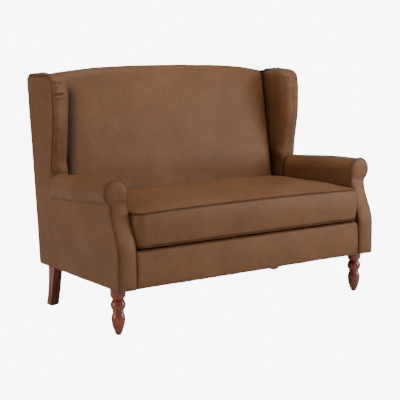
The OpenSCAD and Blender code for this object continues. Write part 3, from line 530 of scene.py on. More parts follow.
def new_group(name, **inputs):
    """A node group for a pattern, the values that it is given, and the place on the piece."""
    group = bpy.data.node_groups.new(name, "ShaderNodeTree")
    for label, kind in inputs.items():
        group.interface.new_socket(label.replace("_", " "), in_out="INPUT",
                                   socket_type="NodeSocket" + kind)
    for label, kind in (("Colour", "Color"), ("Roughness", "Float"), ("Height", "Float")):
        group.interface.new_socket(label, in_out="OUTPUT", socket_type="NodeSocket" + kind)
    given = node(group, "NodeGroupInput").outputs
    return group, given, node(group, "TexCoord").outputs["Object"]


def blend_colour(tree, share, first, second, how="MIX"):
    made = node(tree, "Mix", data_type="RGBA", blend_type=how)
    for label, value in (("Factor", share), ("A", first), ("B", second)):
        feed(tree, [s for s in made.inputs if s.name == label and s.enabled][0], value)
    return [s for s in made.outputs if s.enabled][0]


def maths(tree, how, a, b):
    return node(tree, "Math", {0: a, 1: b}, operation=how).outputs[0]


def add_share(tree, first, second, share):
    """The first value and a share of the second."""
    return maths(tree, "ADD", first, maths(tree, "MULTIPLY", second, share))


def spread(tree, value, low, high, to_low=0.0, to_high=1.0):
    return node(tree, "MapRange", {"Value": value, "From Min": low, "From Max": high,
                                   "To Min": to_low, "To Max": to_high}).outputs[0]


def clouds(tree, where, scale, detail, rough=0.5, twist=0.0):
    """Soft irregular patches."""
    return node(tree, "TexNoise", {"Vector": where, "Scale": scale, "Detail": detail,
                                   "Roughness": rough, "Distortion": twist}).outputs[0]


# The colour that the leather is darkened towards: dirt and painted shade at seams, painted shade in
# folds and creases
SHADE_AND_DIRT_TINT = (0.05, 0.04, 0.035, 1.0)


def hide_group():
    """Finished leather: clouded dye, reddish patches, pebbled grain, and dirt and painted shade in the
    seams, folds and creases.
    """
    group, given, where = new_group("hide", Dye="Color", Deep_Dye="Color", Red_Dye="Color",
                                    Seam_Shade="Float")
    cloud = clouds(group, where, 5.5, 6.0, 0.62)
    patch = clouds(group, where, 21.0, 7.0, 0.68, 0.6)
    fleck = clouds(group, where, 190.0, 4.0, 0.6)
    pebble = node(group, "TexVoronoi", {"Vector": where, "Scale": 540.0, "Randomness": 1.0},
                  feature="DISTANCE_TO_EDGE").outputs["Distance"]
    pore = clouds(group, where, 1300.0, 2.0)
    body = add_share(group, maths(group, "MULTIPLY", cloud, 0.5), patch, 0.5)
    tone = blend_colour(group, spread(group, body, 0.38, 0.62), given["Deep Dye"], given["Dye"])
    red = maths(group, "MULTIPLY", spread(group, patch, 0.5, 0.68), 0.55)
    tone = blend_colour(group, red, tone, given["Red Dye"])
    flecked = spread(group, fleck, 0.3, 0.7, 0.90, 1.10)
    lines = spread(group, pebble, 0.0, 0.10, 0.82, 1.0)
    tone = blend_colour(group, 1.0, tone, maths(group, "MULTIPLY", flecked, lines), "MULTIPLY")
    # Darkening by the seam attribute: dirt and painted shade at seams, painted shade in folds and
    # creases
    dark = blend_colour(group, 1.0, tone, SHADE_AND_DIRT_TINT, "MULTIPLY")
    tone = blend_colour(group, given["Seam Shade"], tone, dark)
    rough = add_share(group, spread(group, patch, 0.3, 0.7, 0.40, 0.52), given["Seam Shade"], 0.12)
    grain = add_share(group, maths(group, "MULTIPLY", pebble, 2.4), pore, 0.35)
    grain = add_share(group, grain, fleck, 0.5)
    node(group, "NodeGroupOutput", {"Colour": tone, "Roughness": rough, "Height": grain})
    return group


def wood_group():
    """Wood: long streaks of grain along the height, with fine pores."""
    group, given, where = new_group("wood_grain", Light_Wood="Color", Dark_Wood="Color",
                                    Along="Vector")
    stretched = node(group, "VectorMath", {0: where, 1: given["Along"]},
                     operation="MULTIPLY").outputs[0]
    streak = clouds(group, stretched, 42.0, 5.0, 0.6, 0.8)
    pore = clouds(group, stretched, 420.0, 3.0)
    tone = blend_colour(group, spread(group, streak, 0.36, 0.66), given["Dark Wood"],
                        given["Light Wood"])
    tone = blend_colour(group, 1.0, tone, spread(group, pore, 0.3, 0.6, 0.8, 1.05), "MULTIPLY")
    rough = spread(group, streak, 0.3, 0.7, 0.34, 0.24)
    node(group, "NodeGroupOutput", {"Colour": tone, "Roughness": rough, "Height": pore})
    return group


def weave_group():
    """Woven or felted cloth: crossing threads with uneven colour."""
    group, given, where = new_group("woven", Thread="Color", Gap="Color", Thread_Scale="Float")
    warp, weft = [node(group, "TexWave", {"Vector": where, "Scale": given["Thread Scale"],
                                          "Distortion": 0.4}, bands_direction=way).outputs[1]
                  for way in ("X", "Y")]
    uneven = clouds(group, where, 60.0, 4.0)
    threads = maths(group, "MULTIPLY", warp, weft)
    tone = blend_colour(group, threads, given["Gap"], given["Thread"])
    tone = blend_colour(group, 1.0, tone, spread(group, uneven, 0.3, 0.7, 0.8, 1.15), "MULTIPLY")
    rough = spread(group, uneven, 0.3, 0.7, 0.8, 0.95)
    node(group, "NodeGroupOutput", {"Colour": tone, "Roughness": rough, "Height": threads})
    return group


HIDE, WOOD, WEAVE = hide_group(), wood_group(), weave_group()


def new_material(name, group, values, bump, bump_deep, **plain):
    """A material whose colour, roughness and relief come from a group."""
    made = bpy.data.materials.new(name)
    made.use_nodes = True
    tree = made.node_tree
    surface = tree.nodes["Principled BSDF"]
    for label, value in plain.items():
        surface.inputs[label.replace("_", " ")].default_value = value
    pattern = tree.nodes.new("ShaderNodeGroup")
    pattern.node_tree = group
    for label, value in values.items():
        pattern.inputs[label].default_value = value
    tree.links.new(pattern.outputs["Colour"], surface.inputs["Base Color"])
    tree.links.new(pattern.outputs["Roughness"], surface.inputs["Roughness"])
    relief = node(tree, "Bump", {"Height": pattern.outputs["Height"], "Strength": bump,
                                 "Distance": bump_deep})
    tree.links.new(relief.outputs[0], surface.inputs["Normal"])
    return made, tree, pattern


def leather(name, dye, deep, red, shine):
    made, tree, pattern = new_material(name, HIDE, {"Dye": dye, "Deep Dye": deep, "Red Dye": red},
                                       0.35, 0.0006, Specular_IOR_Level=shine, Coat_Weight=0.02,
                                       Coat_Roughness=0.3)
    # Reads the attribute of dirt and painted shade that darkens seams, folds and creases
    shade = node(tree, "Attribute", attribute_name="seam_shade_and_dirt")
    tree.links.new(shade.outputs["Fac"], pattern.inputs["Seam Shade"])
    return made


def wood(name, light, dark, along, **plain):
    return new_material(name, WOOD, {"Light Wood": light, "Dark Wood": dark, "Along": along},
                        0.15, 0.0004, **plain)[0]


def cloth(name, thread, gap, scale, **plain):
    return new_material(name, WEAVE, {"Thread": thread, "Gap": gap, "Thread Scale": scale},
                        0.5, 0.0008, **plain)[0]


COVER = leather("saddle_leather", (0.214, 0.096, 0.041, 1), (0.158, 0.068, 0.027, 1),
                (0.182, 0.064, 0.025, 1), 0.22)
PIPING = leather("piping_leather", (0.150, 0.060, 0.023, 1), (0.105, 0.042, 0.016, 1),
                 (0.130, 0.045, 0.017, 1), 0.15)
LEG = wood("stained_leg_wood", (0.290, 0.060, 0.018, 1), (0.140, 0.024, 0.008, 1), (1, 1, 0.08),
           Coat_Weight=0.5, Coat_Roughness=0.12, Specular_IOR_Level=0.35)
FRAME_WOOD = wood("frame_hardwood", (0.62, 0.45, 0.27, 1), (0.47, 0.31, 0.17, 1), (0.08, 1, 1))
DECK = cloth("deck_lining", (0.16, 0.13, 0.11, 1), (0.06, 0.05, 0.045, 1), 190.0)
DUST = cloth("dust_cloth", (0.030, 0.030, 0.030, 1), (0.012, 0.012, 0.012, 1), 260.0)
WEBBING = cloth("webbing_tape", (0.55, 0.42, 0.24, 1), (0.30, 0.22, 0.12, 1), 150.0)
FOAM = cloth("padding_foam", (0.85, 0.80, 0.62, 1), (0.72, 0.66, 0.48, 1), 330.0)
STEEL = cloth("spring_wire_steel", (0.50, 0.50, 0.51, 1), (0.36, 0.36, 0.37, 1), 420.0, Metallic=0.9)
NYLON = cloth("matt_nylon", (0.10, 0.09, 0.08, 1), (0.07, 0.06, 0.055, 1), 500.0)
ZIP = cloth("zip_tape", (0.16, 0.09, 0.05, 1), (0.09, 0.05, 0.03, 1), 320.0)
FINISHES = {"leather": COVER, "leather_piping": PIPING, "leg_wood": LEG, "frame_wood": FRAME_WOOD,
            "spring_steel": STEEL, "padding": FOAM, "lining_cloth": DECK, "dust_cloth": DUST,
            "glide_plastic": NYLON, "zip_plastic": ZIP}
for part in frame["record"]["subparts"]:
    mesh = frame["nodes"][part["node"]].data
    mesh.materials.clear()
    mesh.materials.append(FINISHES[part["material_slot"]])
frame["nodes"]["back_webbing"].data.materials[0] = WEBBING


# Arms

SIDE_STEPS, SCROLL_STEPS, WAIST_STEPS = 40, 36, 6
OUTLINE_STEP, FILL_STEP = 0.008, 0.009

# The padded front: its crown, and the crease below the scroll
ARM_CROWN, ARM_CROWN_REACH, ARM_CROWN_POWER, ARM_FACE_IN = 0.012, 0.040, 2.4, 0.0055
SCROLL_CREASE, SCROLL_CREASE_Z, SCROLL_CREASE_TALL, SCROLL_CREASE_IN = 0.0050, 0.520, 0.013, 0.02
FOOT_EDGE, PIPING_BACK = 0.004, 0.0035
FRONT_TURNED = 0.012
ROLL_FROM_DEGREES, ROLL_POINTS = -68, 54
ROLL_END_ROUND, ROLL_END_SHRINK = 0.014, 0.42

# How far behind the front, and past its end, the skin of an arm runs and has its seam
ROLL_TUCK, ROLL_SEAM = 0.006, 0.005
END_TUCK, END_SEAM = 0.002, 0.001


def arm_outline():
    """The front of a right arm, seen from the front, anticlockwise from its inner foot."""
    reach = SCROLL_R + WAIST_R
    waist_x = HALF_WIDTH + WAIST_R
    waist_z = SCROLL_Z - sqrt(reach ** 2 - (waist_x - SCROLL_X) ** 2)
    low = atan2(waist_z - SCROLL_Z, waist_x - SCROLL_X)
    line = [(ARM_IN, BODY_LOW), (HALF_WIDTH, BODY_LOW)]
    line += [(HALF_WIDTH, mix(BODY_LOW, waist_z, i / SIDE_STEPS)) for i in range(1, SIDE_STEPS)]
    turn = pi + low
    for i in range(WAIST_STEPS + 1):
        a = pi + (turn - pi) * i / WAIST_STEPS
        line.append((waist_x + WAIST_R * cos(a), waist_z + WAIST_R * sin(a)))
    for i in range(1, SCROLL_STEPS + 1):
        a = mix(low, pi, i / SCROLL_STEPS)
        line.append((SCROLL_X + SCROLL_R * cos(a), SCROLL_Z + SCROLL_R * sin(a)))
    line += [(ARM_IN, mix(SCROLL_Z, BODY_LOW, i / SIDE_STEPS)) for i in range(1, SIDE_STEPS)]
    return line


ARM_LINE = [(x, z) for x, z, _ in even([(x, z, 0) for x, z in arm_outline()], OUTLINE_STEP,
                                       closed=True)]


def arm_face(x, z):
    """The padded front of an arm at a point, crowned across and domed at the scroll."""
    far = rim_distance(Vector((abs(x), z)), [Vector(p) for p in ARM_LINE])
    t = min(1.0, far / ARM_CROWN_REACH)
    crown = ARM_CROWN * sqrt(max(0.0, 1 - (1 - t) ** ARM_CROWN_POWER))
    crease = SCROLL_CREASE * exp(-((z - SCROLL_CREASE_Z) / SCROLL_CREASE_TALL) ** 2)
    return front_at(z) + ARM_FACE_IN - crown + crease * smooth(far / SCROLL_CREASE_IN)


def make_arm_front(side):
    name = "arm_front_" + side_name(side)
    flat, triangles = flat_fill(ARM_LINE, FILL_STEP)
    points = [(side * x, arm_face(x, z), z) for x, z in flat]
    piece = sew(name + "_leather", [(points, triangles)], (0, -1, 0))
    seam = [(side * x, front_at(z), z) for x, z in ARM_LINE]
    work(piece, [seam], sink=0.0, pucker=0.0006, loose=0.0012, seed=3.1 * side)
    edge_back(piece, (0, 1, 0), FRONT_TURNED)
    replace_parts(finish(piece, COVER), name)
    line = [(x, z) for x, z in ARM_LINE if z > BODY_LOW + FOOT_EDGE]
    start = min(range(len(line)), key=lambda i: (line[i][0] < SCROLL_X, line[i][1]))
    run = [(side * (x - PIPING_IN * (1 if x > SCROLL_X else -1)), front_at(z) + PIPING_BACK, z)
           for x, z in line[start:] + line[:start]]
    piping = tube("arm_piping_" + side_name(side), even(run, PIPING_STEP), PIPING_R)
    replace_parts(finish(piping, PIPING, rounds=0), "arm_welt_" + side_name(side))


INNER_FACE = stations(SCROLL_Z - RAIL_TOP, 0.011, both=False)


def roll_section(y):
    """The arm behind its front: from the outer side under the roll, over it and down inside."""
    fall = roll_fall(y)
    swell = roll_full(y)
    line = []
    for i in range(ROLL_POINTS):
        a = radians(mix(ROLL_FROM_DEGREES, 180, i / (ROLL_POINTS - 1)))
        tall = SCROLL_R + swell * abs(sin(a))
        line.append((SCROLL_X + SCROLL_R * cos(a), SCROLL_Z - fall + tall * sin(a)))
    line += [(ARM_IN, mix(SCROLL_Z - fall, RAIL_TOP + 0.001, t)) for t in INNER_FACE[1:]]
    return line


def make_arm(side):
    name = side_name(side)
    end = ARM_END + END_TUCK
    rows = []
    for share in stations(ARM_END - ARM_START, 0.012, first=(0.0008, 0.0025, 0.005, 0.009, 0.016)):
        y = mix(ARM_START, end, share)
        near_end = max(0.0, 1 - (end - y) / ROLL_END_ROUND)
        shrink = 1 - ROLL_END_SHRINK * (1 - sqrt(1 - near_end ** 2))
        row = []
        for x, z in roll_section(y):
            if x > SCROLL_X:
                x = SCROLL_X + (x - SCROLL_X) * shrink
            row.append((side * x, mix(front_at(z) + ROLL_TUCK, end, share), z))
        rows.append(row)
    piece = sew("arm_" + name + "_leather", [grid(rows)], (-side, 0, 1))
    front = [(side * x, front_at(z) + ROLL_SEAM, z) for x, z in roll_section(ARM_START)]
    rear = [(side * x, ARM_END + END_SEAM, z) for x, z in roll_section(ARM_END)]
    # The dark line at the rear end of the roll is painted shade
    work(piece, [front, rear], sink=0.0055, sink_width=0.014, pucker=0.0018,
         pucker_reach=0.035, loose=0.0022, seed=11.0 * side, deep=[(rear, 0.013, 1.0)])
    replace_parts(finish(piece, COVER), "arm_cover_" + name, "arm_foam_" + name)


# Side panels

def squared_corner(y, z, corner, radius, toward):
    """Rounds a corner of a lattice: points in its square move onto a quarter disc."""
    cy, cz = corner[0] + toward[0] * radius, corner[1] + toward[1] * radius
    a, b = (cy - y) * toward[0] / radius, (cz - z) * toward[1] / radius
    if a <= 0 or b <= 0:
        return y, z
    a, b = min(a, 1.0), min(b, 1.0)
    a, b = a * sqrt(1 - b * b / 2), b * sqrt(1 - a * a / 2)
    return cy - a * toward[0] * radius, cz - b * toward[1] * radius


# The rounded lower and upper rear corners
FOOT_ROUND, REAR_ROUND = 0.015, 0.028

# How far the panel goes in under the roll, and how far behind the arm's front it has its own
UNDER_ROLL, PANEL_FRONT, PANEL_START, FORE_SHORT = 0.0012, 0.0075, 0.008, 0.02
NOSE_BLEND_SHARE, PANEL_SEAM_TOP, REAR_SEAM_SHORT, PANEL_TURNED = 0.12, 0.5, 0.01, 0.008


def make_side_panel(side):
    """Makes a side panel and gives back its front edge at the wing, and its upper edge."""
    name = side_name(side)
    shelf = roll_meets(WING_FRONT) + UNDER_ROLL
    fore = stations(WING_FRONT - FORE_SHORT, 0.014)
    aft = stations(DEPTH - WING_FRONT, 0.012)
    lower, upper = [], []
    for t in stations(shelf - BODY_LOW, 0.014):
        row = []
        for u in fore:
            y = mix(FACE + PANEL_START, WING_FRONT, u)
            z = mix(BODY_LOW, roll_meets(y) + UNDER_ROLL, t)
            row.append((mix(front_at(z) + PANEL_FRONT, WING_FRONT, u), z))
        for u in aft[1:]:
            z = mix(BODY_LOW, shelf, t)
            row.append(squared_corner(mix(WING_FRONT, rear_at(z), u), z,
                                      (rear_at(BODY_LOW), BODY_LOW), FOOT_ROUND, (-1, 1)))
        lower.append(row)
    for t in stations(WING_TOP - shelf, 0.012):
        row = []
        for u in aft:
            flat_z = mix(shelf, WING_TOP - SEAM_IN, t)
            nose = mix(WING_FRONT, wing_front_at(flat_z, SEAM_IN), min(1.0, t / NOSE_BLEND_SHARE))
            y = mix(nose, rear_at(flat_z), u)
            z = mix(shelf, wing_top_at(y) - SEAM_IN, t)
            row.append(squared_corner(y, z, (rear_at(REAR_TOP), REAR_TOP), REAR_ROUND, (-1, -1)))
        upper.append(row)
    flat = [[(side * HALF_WIDTH, y, z) for y, z in row] for row in lower]
    tall = [[(side * HALF_WIDTH, y, z) for y, z in row] for row in upper]
    piece = sew("side_panel_" + name + "_leather", [grid(flat), grid(tall)], (side, 0, 0), weld=0.002)
    wing_line = [row[0] for row in tall]
    crown_line = tall[-1]
    rear_line = [(side * HALF_WIDTH, rear_at(z), z)
                 for z in np.linspace(BODY_LOW, REAR_TOP - REAR_SEAM_SHORT, 12)]
    foot_line = [(side * HALF_WIDTH, y, BODY_LOW) for y in np.linspace(FACE, REAR_FOOT, 12)]
    front_line = [(side * HALF_WIDTH, front_at(z) + PANEL_FRONT, z)
                  for z in np.linspace(BODY_LOW, PANEL_SEAM_TOP, 30)]
    work(piece, [wing_line + crown_line, rear_line, foot_line, front_line],
         sink=0.0030, sink_width=0.011, pucker=0.0014, pucker_reach=0.05, pucker_length=0.04,
         loose=0.0022, loose_length=0.16, seed=5.0 * side, shade=0.0035)
    edge_back(piece, (-side, 0, 0), PANEL_TURNED)
    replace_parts(finish(piece, COVER), "side_panel_" + name)
    return wing_line[1:], crown_line


# Wings

# Height and thickness of a wing at its front edge
BAND = ((0.56, 0.080), (0.60, 0.090), (0.658, 0.093), (0.739, 0.090), (0.819, 0.089), (0.898, 0.092),
        (0.96, 0.088))
WING_FOOT = 0.5935
WING_IN, WING_CROWN, CROWN_POWER = 0.0015, 0.0040, 0.6

# How the leather leaves the seam at the front edge: aside and backwards
SEAM_TURN = ((0.0, SEAM_IN + 0.0005), (0.0012, 0.0035), (0.0050, 0.0006))
SEAM_TURN_WIDE = 0.009

# Size of the soft inner corner above the arm and at the foot, where it is drawn in
CORNER_ACROSS, CORNER_BACK, CORNER_POWER = (0.052, 0.020), (0.056, 0.024), 0.94
NARROW_FROM, NARROW_RUN = 0.585, 0.06
CREASE_DEEP, INNER_FULL = 0.042, 0.007
CREASE_DRAWN, REAR_DRAWN = 0.8, 0.3
REAR_IN, REAR_OUT = 0.006, 0.004
FRONT_STEPS, CORNER_STEPS, INNER_STEPS, BEHIND_STEPS = 5, 12, 12, 6

# The top of a wing: its rounded inner edge, the shares across its lid, and the dome of the lid
TOP_TALL, TOP_WIDE, TOP_STEPS = 0.050, 0.022, 14
LID = (0, 0.13, 0.27, 0.41, 0.55, 0.68, 0.79, 0.87, 0.92, 0.955, 0.98, 1)
LID_TURN_FROM, LID_TURN_RUN, LID_SPREAD = 0.87, 0.13, 1.15
DOME, DOME_RUN, DIP_ACROSS = 0.009, 0.06, 0.85
FINE_ROWS_FROM, LOW_ROWS, HIGH_ROWS = 0.880, 42, 20

# Pleats on the front of a wing: height, length and depth
PLEATS = {"left": ((0.966, 0.050, 0.0070), (0.920, 0.056, 0.0075), (0.700, 0.020, 0.0016)),
          "right": ((0.955, 0.026, 0.0035), (0.872, 0.022, 0.0018))}
PLEAT_IN, PLEAT_AHEAD, PLEAT_SLOPE, PLEAT_WIDE = 0.004, 0.003, 0.004, 0.0055
WING_START, WING_PIPING_AHEAD, WING_PIPING_START = 0.02, 0.001, 0.002


def band_at(z):
    """Thickness of a wing at its front edge."""
    for (z0, w0), (z1, w1) in zip(BAND, BAND[1:]):
        if z < z1:
            return mix(w0, w1, smooth((z - z0) / (z1 - z0)))
    return BAND[-1][1]


def wing_section(z, drawn):
    """The right wing from above at a height: its outer seam, front, the soft inner corner, its inner
    face to the back and on behind it. drawn is how far the section has shrunk near the top. Each
    point is (x, y, change of height)."""
    outer = HALF_WIDTH - WING_IN
    inner = HALF_WIDTH - band_at(z) + drawn
    front = wing_front_at(z)
    ahead, up = corner_facing(z)
    foot = 1 - smooth((z - NARROW_FROM) / NARROW_RUN)
    round_x, round_y = mix(*CORNER_ACROSS, foot), mix(*CORNER_BACK, foot)
    crease_x = back_half_at(z) + BEHIND_WING + drawn * CREASE_DRAWN
    crease_y = back_at(z) + CREASE_DEEP * above_seat(z)
    line = [(outer - aside, front + far * ahead, -far * up) for aside, far in SEAM_TURN]
    outer -= SEAM_TURN_WIDE
    for i in range(FRONT_STEPS):
        crown = WING_CROWN * sin(pi * i / FRONT_STEPS) ** CROWN_POWER
        line.append((mix(outer, inner + round_x, i / FRONT_STEPS), front - crown, 0))
    for a in quarter_turn(CORNER_STEPS):
        line.append((inner + round_x - round_x * sin(a) ** CORNER_POWER,
                     front + round_y - round_y * cos(a) ** CORNER_POWER, 0))
    start = line[-1]
    for i in range(1, INNER_STEPS + 1):
        t = i / INNER_STEPS
        full = INNER_FULL * sin(pi * t) * (1 - foot)
        line.append((mix(start[0], crease_x, t) - full, mix(start[1], crease_y, t), 0))
    behind = rear_at(z) - REAR_IN - drawn * REAR_DRAWN
    line += [(mix(crease_x, crease_x + REAR_OUT, i / BEHIND_STEPS),
              mix(crease_y, behind, i / BEHIND_STEPS), 0) for i in range(1, BEHIND_STEPS + 1)]
    return line


def wing_rows(side, base):
    """The upright part of a wing as rows from its foot to the rounded edge of its top."""
    neck = WING_TOP - TOP_TALL
    heights = [(mix(base, FINE_ROWS_FROM, i / LOW_ROWS), 0.0) for i in range(LOW_ROWS)]
    heights += [(mix(FINE_ROWS_FROM, neck, i / HIGH_ROWS), 0.0) for i in range(HIGH_ROWS + 1)]
    heights += [(neck + TOP_TALL * sin(a), TOP_WIDE * (1 - cos(a)))
                for a in quarter_turn(TOP_STEPS, first=1)]
    rows = []
    for z, drawn in heights:
        row = []
        for x, y, change in wing_section(z, drawn):
            high = base + (wing_top_at(y) - wing_dip(y) - base) * (z - base) / (WING_TOP - base)
            row.append((side * x, y, high + change))
        rows.append(row)
    return rows


def wing_lid(side, last):
    """The domed top of a wing, from the inner edge, its last upright row, to the outer seam."""
    run = [0.0]
    for a, b in zip(last, last[1:]):
        run.append(run[-1] + dist(a, b))
    y0, y1 = last[0][1], last[-1][1]
    lid = []
    for w in LID:
        turn_down = max(0.0, (w - LID_TURN_FROM) / LID_TURN_RUN)
        drop = SEAM_IN * (1 - sqrt(1 - turn_down ** 2))
        row = []
        for s, (x, y, z) in zip(run, last):
            far = mix(y0, y1, (s / run[-1]) ** LID_SPREAD)
            px, py = mix(x, side * (HALF_WIDTH - WING_IN), w), mix(y, far, w)
            step = min(z - wing_top_at(y) + wing_dip(y), 0.0)
            dome = DOME * sin(pi * w) * smooth((py - y0) / DOME_RUN)
            inner_dip = wing_dip(y) * (1 - smooth(w / DIP_ACROSS))
            row.append((px, py, wing_top_at(py) - inner_dip + dome - max(drop, -step)))
        lid.append(row)
    return lid


def wing_pleats(side):
    """The pleats as folds for the leather: a line, its depth and its width."""
    folds = []
    for z, reach, deep in PLEATS[side_name(side)]:
        front = wing_front_at(z) - PLEAT_AHEAD
        line = [(side * (HALF_WIDTH - PLEAT_IN), front + PLEAT_SLOPE, z),
                (side * (HALF_WIDTH - PLEAT_IN - reach), front, z + PLEAT_SLOPE)]
        folds.append((line, deep, PLEAT_WIDE))
    return folds


def make_wing(side, edge_line):
    name = side_name(side)
    rows = wing_rows(side, RAIL_TOP + WING_START)
    lid = wing_lid(side, rows[-1])
    piece = sew("wing_" + name + "_leather", [grid(rows), grid(lid)], (-side, -1, 0.5))
    seam = [row[0] for row in rows]
    crease = [row[-1 - BEHIND_STEPS] for row in rows]
    front_points = len(SEAM_TURN) + FRONT_STEPS + CORNER_STEPS
    foot = [(side * x, y, WING_FOOT) for x, y, _ in wing_section(WING_FOOT, 0)][:front_points]
    # The dark beside the crease with the back is painted shade, and the pleats get painted shade in
    # their dents
    work(piece, [seam + lid[-1], foot], sink=0.0022, sink_width=0.010, pucker=0.0016,
         pucker_reach=0.035, loose=0.0024, seed=9.0 * side, folds=wing_pleats(side), shade=0.004,
         deep=[(crease, 0.062, 0.90)])
    finish(piece, COVER)
    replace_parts(piece, "wing_cover_" + name, "wing_foam_" + name)
    run = [(side * (HALF_WIDTH - PIPING_IN), y - WING_PIPING_AHEAD, z) for _, y, z in edge_line
           if z > WING_FOOT + WING_PIPING_START]
    piping = tube("wing_piping_" + name, even(run, PIPING_STEP), PIPING_R)
    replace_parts(finish(piping, PIPING, rounds=0), "wing_welt_" + name)


# Back

# How the inside back turns in beside the wings, and how it stands forward in its middle
TURN_DEEP, TURN_WIDE = 0.040, 0.030
TURN_EASE_FROM, TURN_EASE_RUN, TURN_EASE_SHARE = 0.90, 0.09, 0.6
BACK_FULL, FULL_RISE, FULL_POWER, FULL_EASE_SHARE = 0.014, 0.15, 3.2, 0.6

# The width over which its points are spaced, closer together at the edges, and its rounded crest
BACK_SPAN = 1.16
BACK_EDGE = (0.0006, 0.0018, 0.0036, 0.006, 0.009, 0.0125, 0.0165, 0.022, 0.031)
CREST_ROUND, CREST_STEPS = 0.052, 28
CREST_TALL_POWER, CREST_DEEP_POWER = 0.85, 0.8
BACK_START, CREST_IN = 0.004, 0.003

# The painted shade beside the left wing on the back: how far from the middle it is low down and high
# up, the height where it starts and the height between
SHADE_LOW_X, SHADE_HIGH_X, SHADE_LOW_Z, SHADE_RUN = 0.5440, 0.5065, 0.658, 0.268

# The outside back beside the wings: its rounded upper corners, and where the crest leaves it
REAR_CORNER, REAR_CORNER_DROP, REAR_CORNER_OVER = 0.016, 0.014, 0.006
UNDER_CREST, CREST_ENDS, CREST_ENDS_RUN = 0.03, 0.50, 0.06
FOOT_DEGREES, REAR_TURNED = (0, 20, 40, 60, 75), 0.008


def back_turn(s, half, z):
    """How far the inside back turns in beside a wing, less near the crest and the seat."""
    t = max(0.0, 1 - half * (1 - abs(s)) / TURN_WIDE)
    return (TURN_DEEP * (1 - sqrt(1 - t * t)) * above_seat(z)
            * (1 - TURN_EASE_SHARE * smooth((z - TURN_EASE_FROM) / TURN_EASE_RUN)))


def back_fullness(s, z):
    """How far the inside back stands forward in its middle."""
    low = smooth((z - SEAT_TOP) / FULL_RISE)
    high = smooth((z - SEAT_TOP - FULL_RISE) / (CREST - SEAT_TOP - FULL_RISE))
    return BACK_FULL * (1 - abs(s) ** FULL_POWER) * low * (1 - FULL_EASE_SHARE * high)


BACK_FACE = stations(CREST - RAIL_TOP, 0.014, first=(0.004,), both=False)


def back_column(s):
    """The inside back from the seat up and over the crest. s is the share of its half width."""
    z1 = crest_at(s * (back_half_at(WING_TOP) + BEHIND_WING)) - CREST_ROUND
    column = []
    for v in BACK_FACE:
        z = mix(RAIL_TOP + BACK_START, z1, v)
        half = back_half_at(z) + BEHIND_WING
        column.append((s * half, back_at(z) - back_fullness(s, z) + back_turn(s, half, z), z))
    front, rear = column[-1][1], rear_at(z1) - CREST_IN
    middle = mix(front, rear, 0.50)
    for i in range(1, CREST_STEPS + 1):
        a = pi * i / CREST_STEPS
        z = z1 + CREST_ROUND * sin(a) ** CREST_TALL_POWER
        lean = (z - z1) * mix(BACK_LEAN, REAR_LEAN, smooth(i / CREST_STEPS))
        deep = middle - front if a < pi / 2 else rear - middle
        across = copysign(abs(cos(a)) ** CREST_DEEP_POWER, cos(a))
        y = middle - deep * across + lean
        column.append((s * (back_half_at(min(z, WING_TOP)) + BEHIND_WING), y, z))
    return column


def make_inside_back():
    columns = [back_column(2 * t - 1) for t in stations(BACK_SPAN, 0.014, first=BACK_EDGE)]
    piece = sew("inside_back_leather", [grid(columns)], (0, -1, 0.4))
    left, right = columns[0], columns[-1]
    # Painted shade: dark along both edges beside the wings, and a wider band on the back beside the
    # left wing
    beside = [(-mix(SHADE_LOW_X, SHADE_HIGH_X, (z - SHADE_LOW_Z) / SHADE_RUN), back_at(z), z)
              for z in np.linspace(0.50, 0.91, 12)]
    work(piece, [left, right], sink=0.002, sink_width=0.010, pucker=0.0022, pucker_reach=0.045,
         pucker_length=0.03, loose=0.0028, loose_length=0.17, seed=21.0, shade=0.004,
         deep=[(left, 0.040, 1.0), (beside, 0.033, 1.0), (right, 0.026, 1.0)])
    finish(piece, COVER)
    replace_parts(piece, "inside_back_cover", "back_foam")


def make_outside_back():
    half = HALF_WIDTH - 0.001
    columns = []
    for t in stations(2 * half, 0.02):
        x = mix(-half, half, t)
        corner = smooth((abs(x) - half + REAR_CORNER) / REAR_CORNER) ** 2
        edge = REAR_TOP + REAR_CORNER_OVER - REAR_CORNER_DROP * corner
        top = mix(crest_at(x) - UNDER_CREST, edge, smooth((abs(x) - CREST_ENDS) / CREST_ENDS_RUN))
        column = [(x, rear_at(BODY_LOW) - FOOT_ROUND * (1 - sin(a)),
                   BODY_LOW + FOOT_ROUND * (1 - cos(a))) for a in np.radians(FOOT_DEGREES)]
        for v in stations(CREST - BODY_LOW, 0.022):
            z = mix(BODY_LOW + FOOT_ROUND, top, v)
            column.append((x, rear_at(z), z))
        columns.append(column)
    piece = sew("outside_back_leather", [grid(columns)], (0, 1, 0))
    tops, feet = [column[-1] for column in columns], [column[0] for column in columns]
    rim = columns[0] + tops + columns[-1][::-1] + feet[::-1]
    work(piece, [rim], sink=0.004, sink_width=0.012, pucker=0.0012, pucker_length=0.04,
         pucker_reach=0.05, loose=0.0022, loose_length=0.2, seed=31.0)
    edge_back(piece, (0, -1, 0), REAR_TURNED)
    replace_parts(finish(piece, COVER), "outside_back_cover")


# Front rail

# Its rounded ends, upper edge and lower edge, how its face lies, and how far it reaches back
RAIL_CORNER, RAIL_ROUND, RAIL_FOOT_ROUND = 0.020, 0.016, 0.008
RAIL_FACE_IN, RAIL_CORNER_IN, RAIL_FULL = 0.0035, 0.012, 0.004
RAIL_LIP_UNDER, RAIL_LIP_OVER = 0.045, 0.068
RAIL_TOP_IN, RAIL_LIP_IN = 0.002, 0.0006
RAIL_STEPS, ROUND_STEPS, FOOT_STEPS, LIP_STEPS = 12, 6, 4, 3


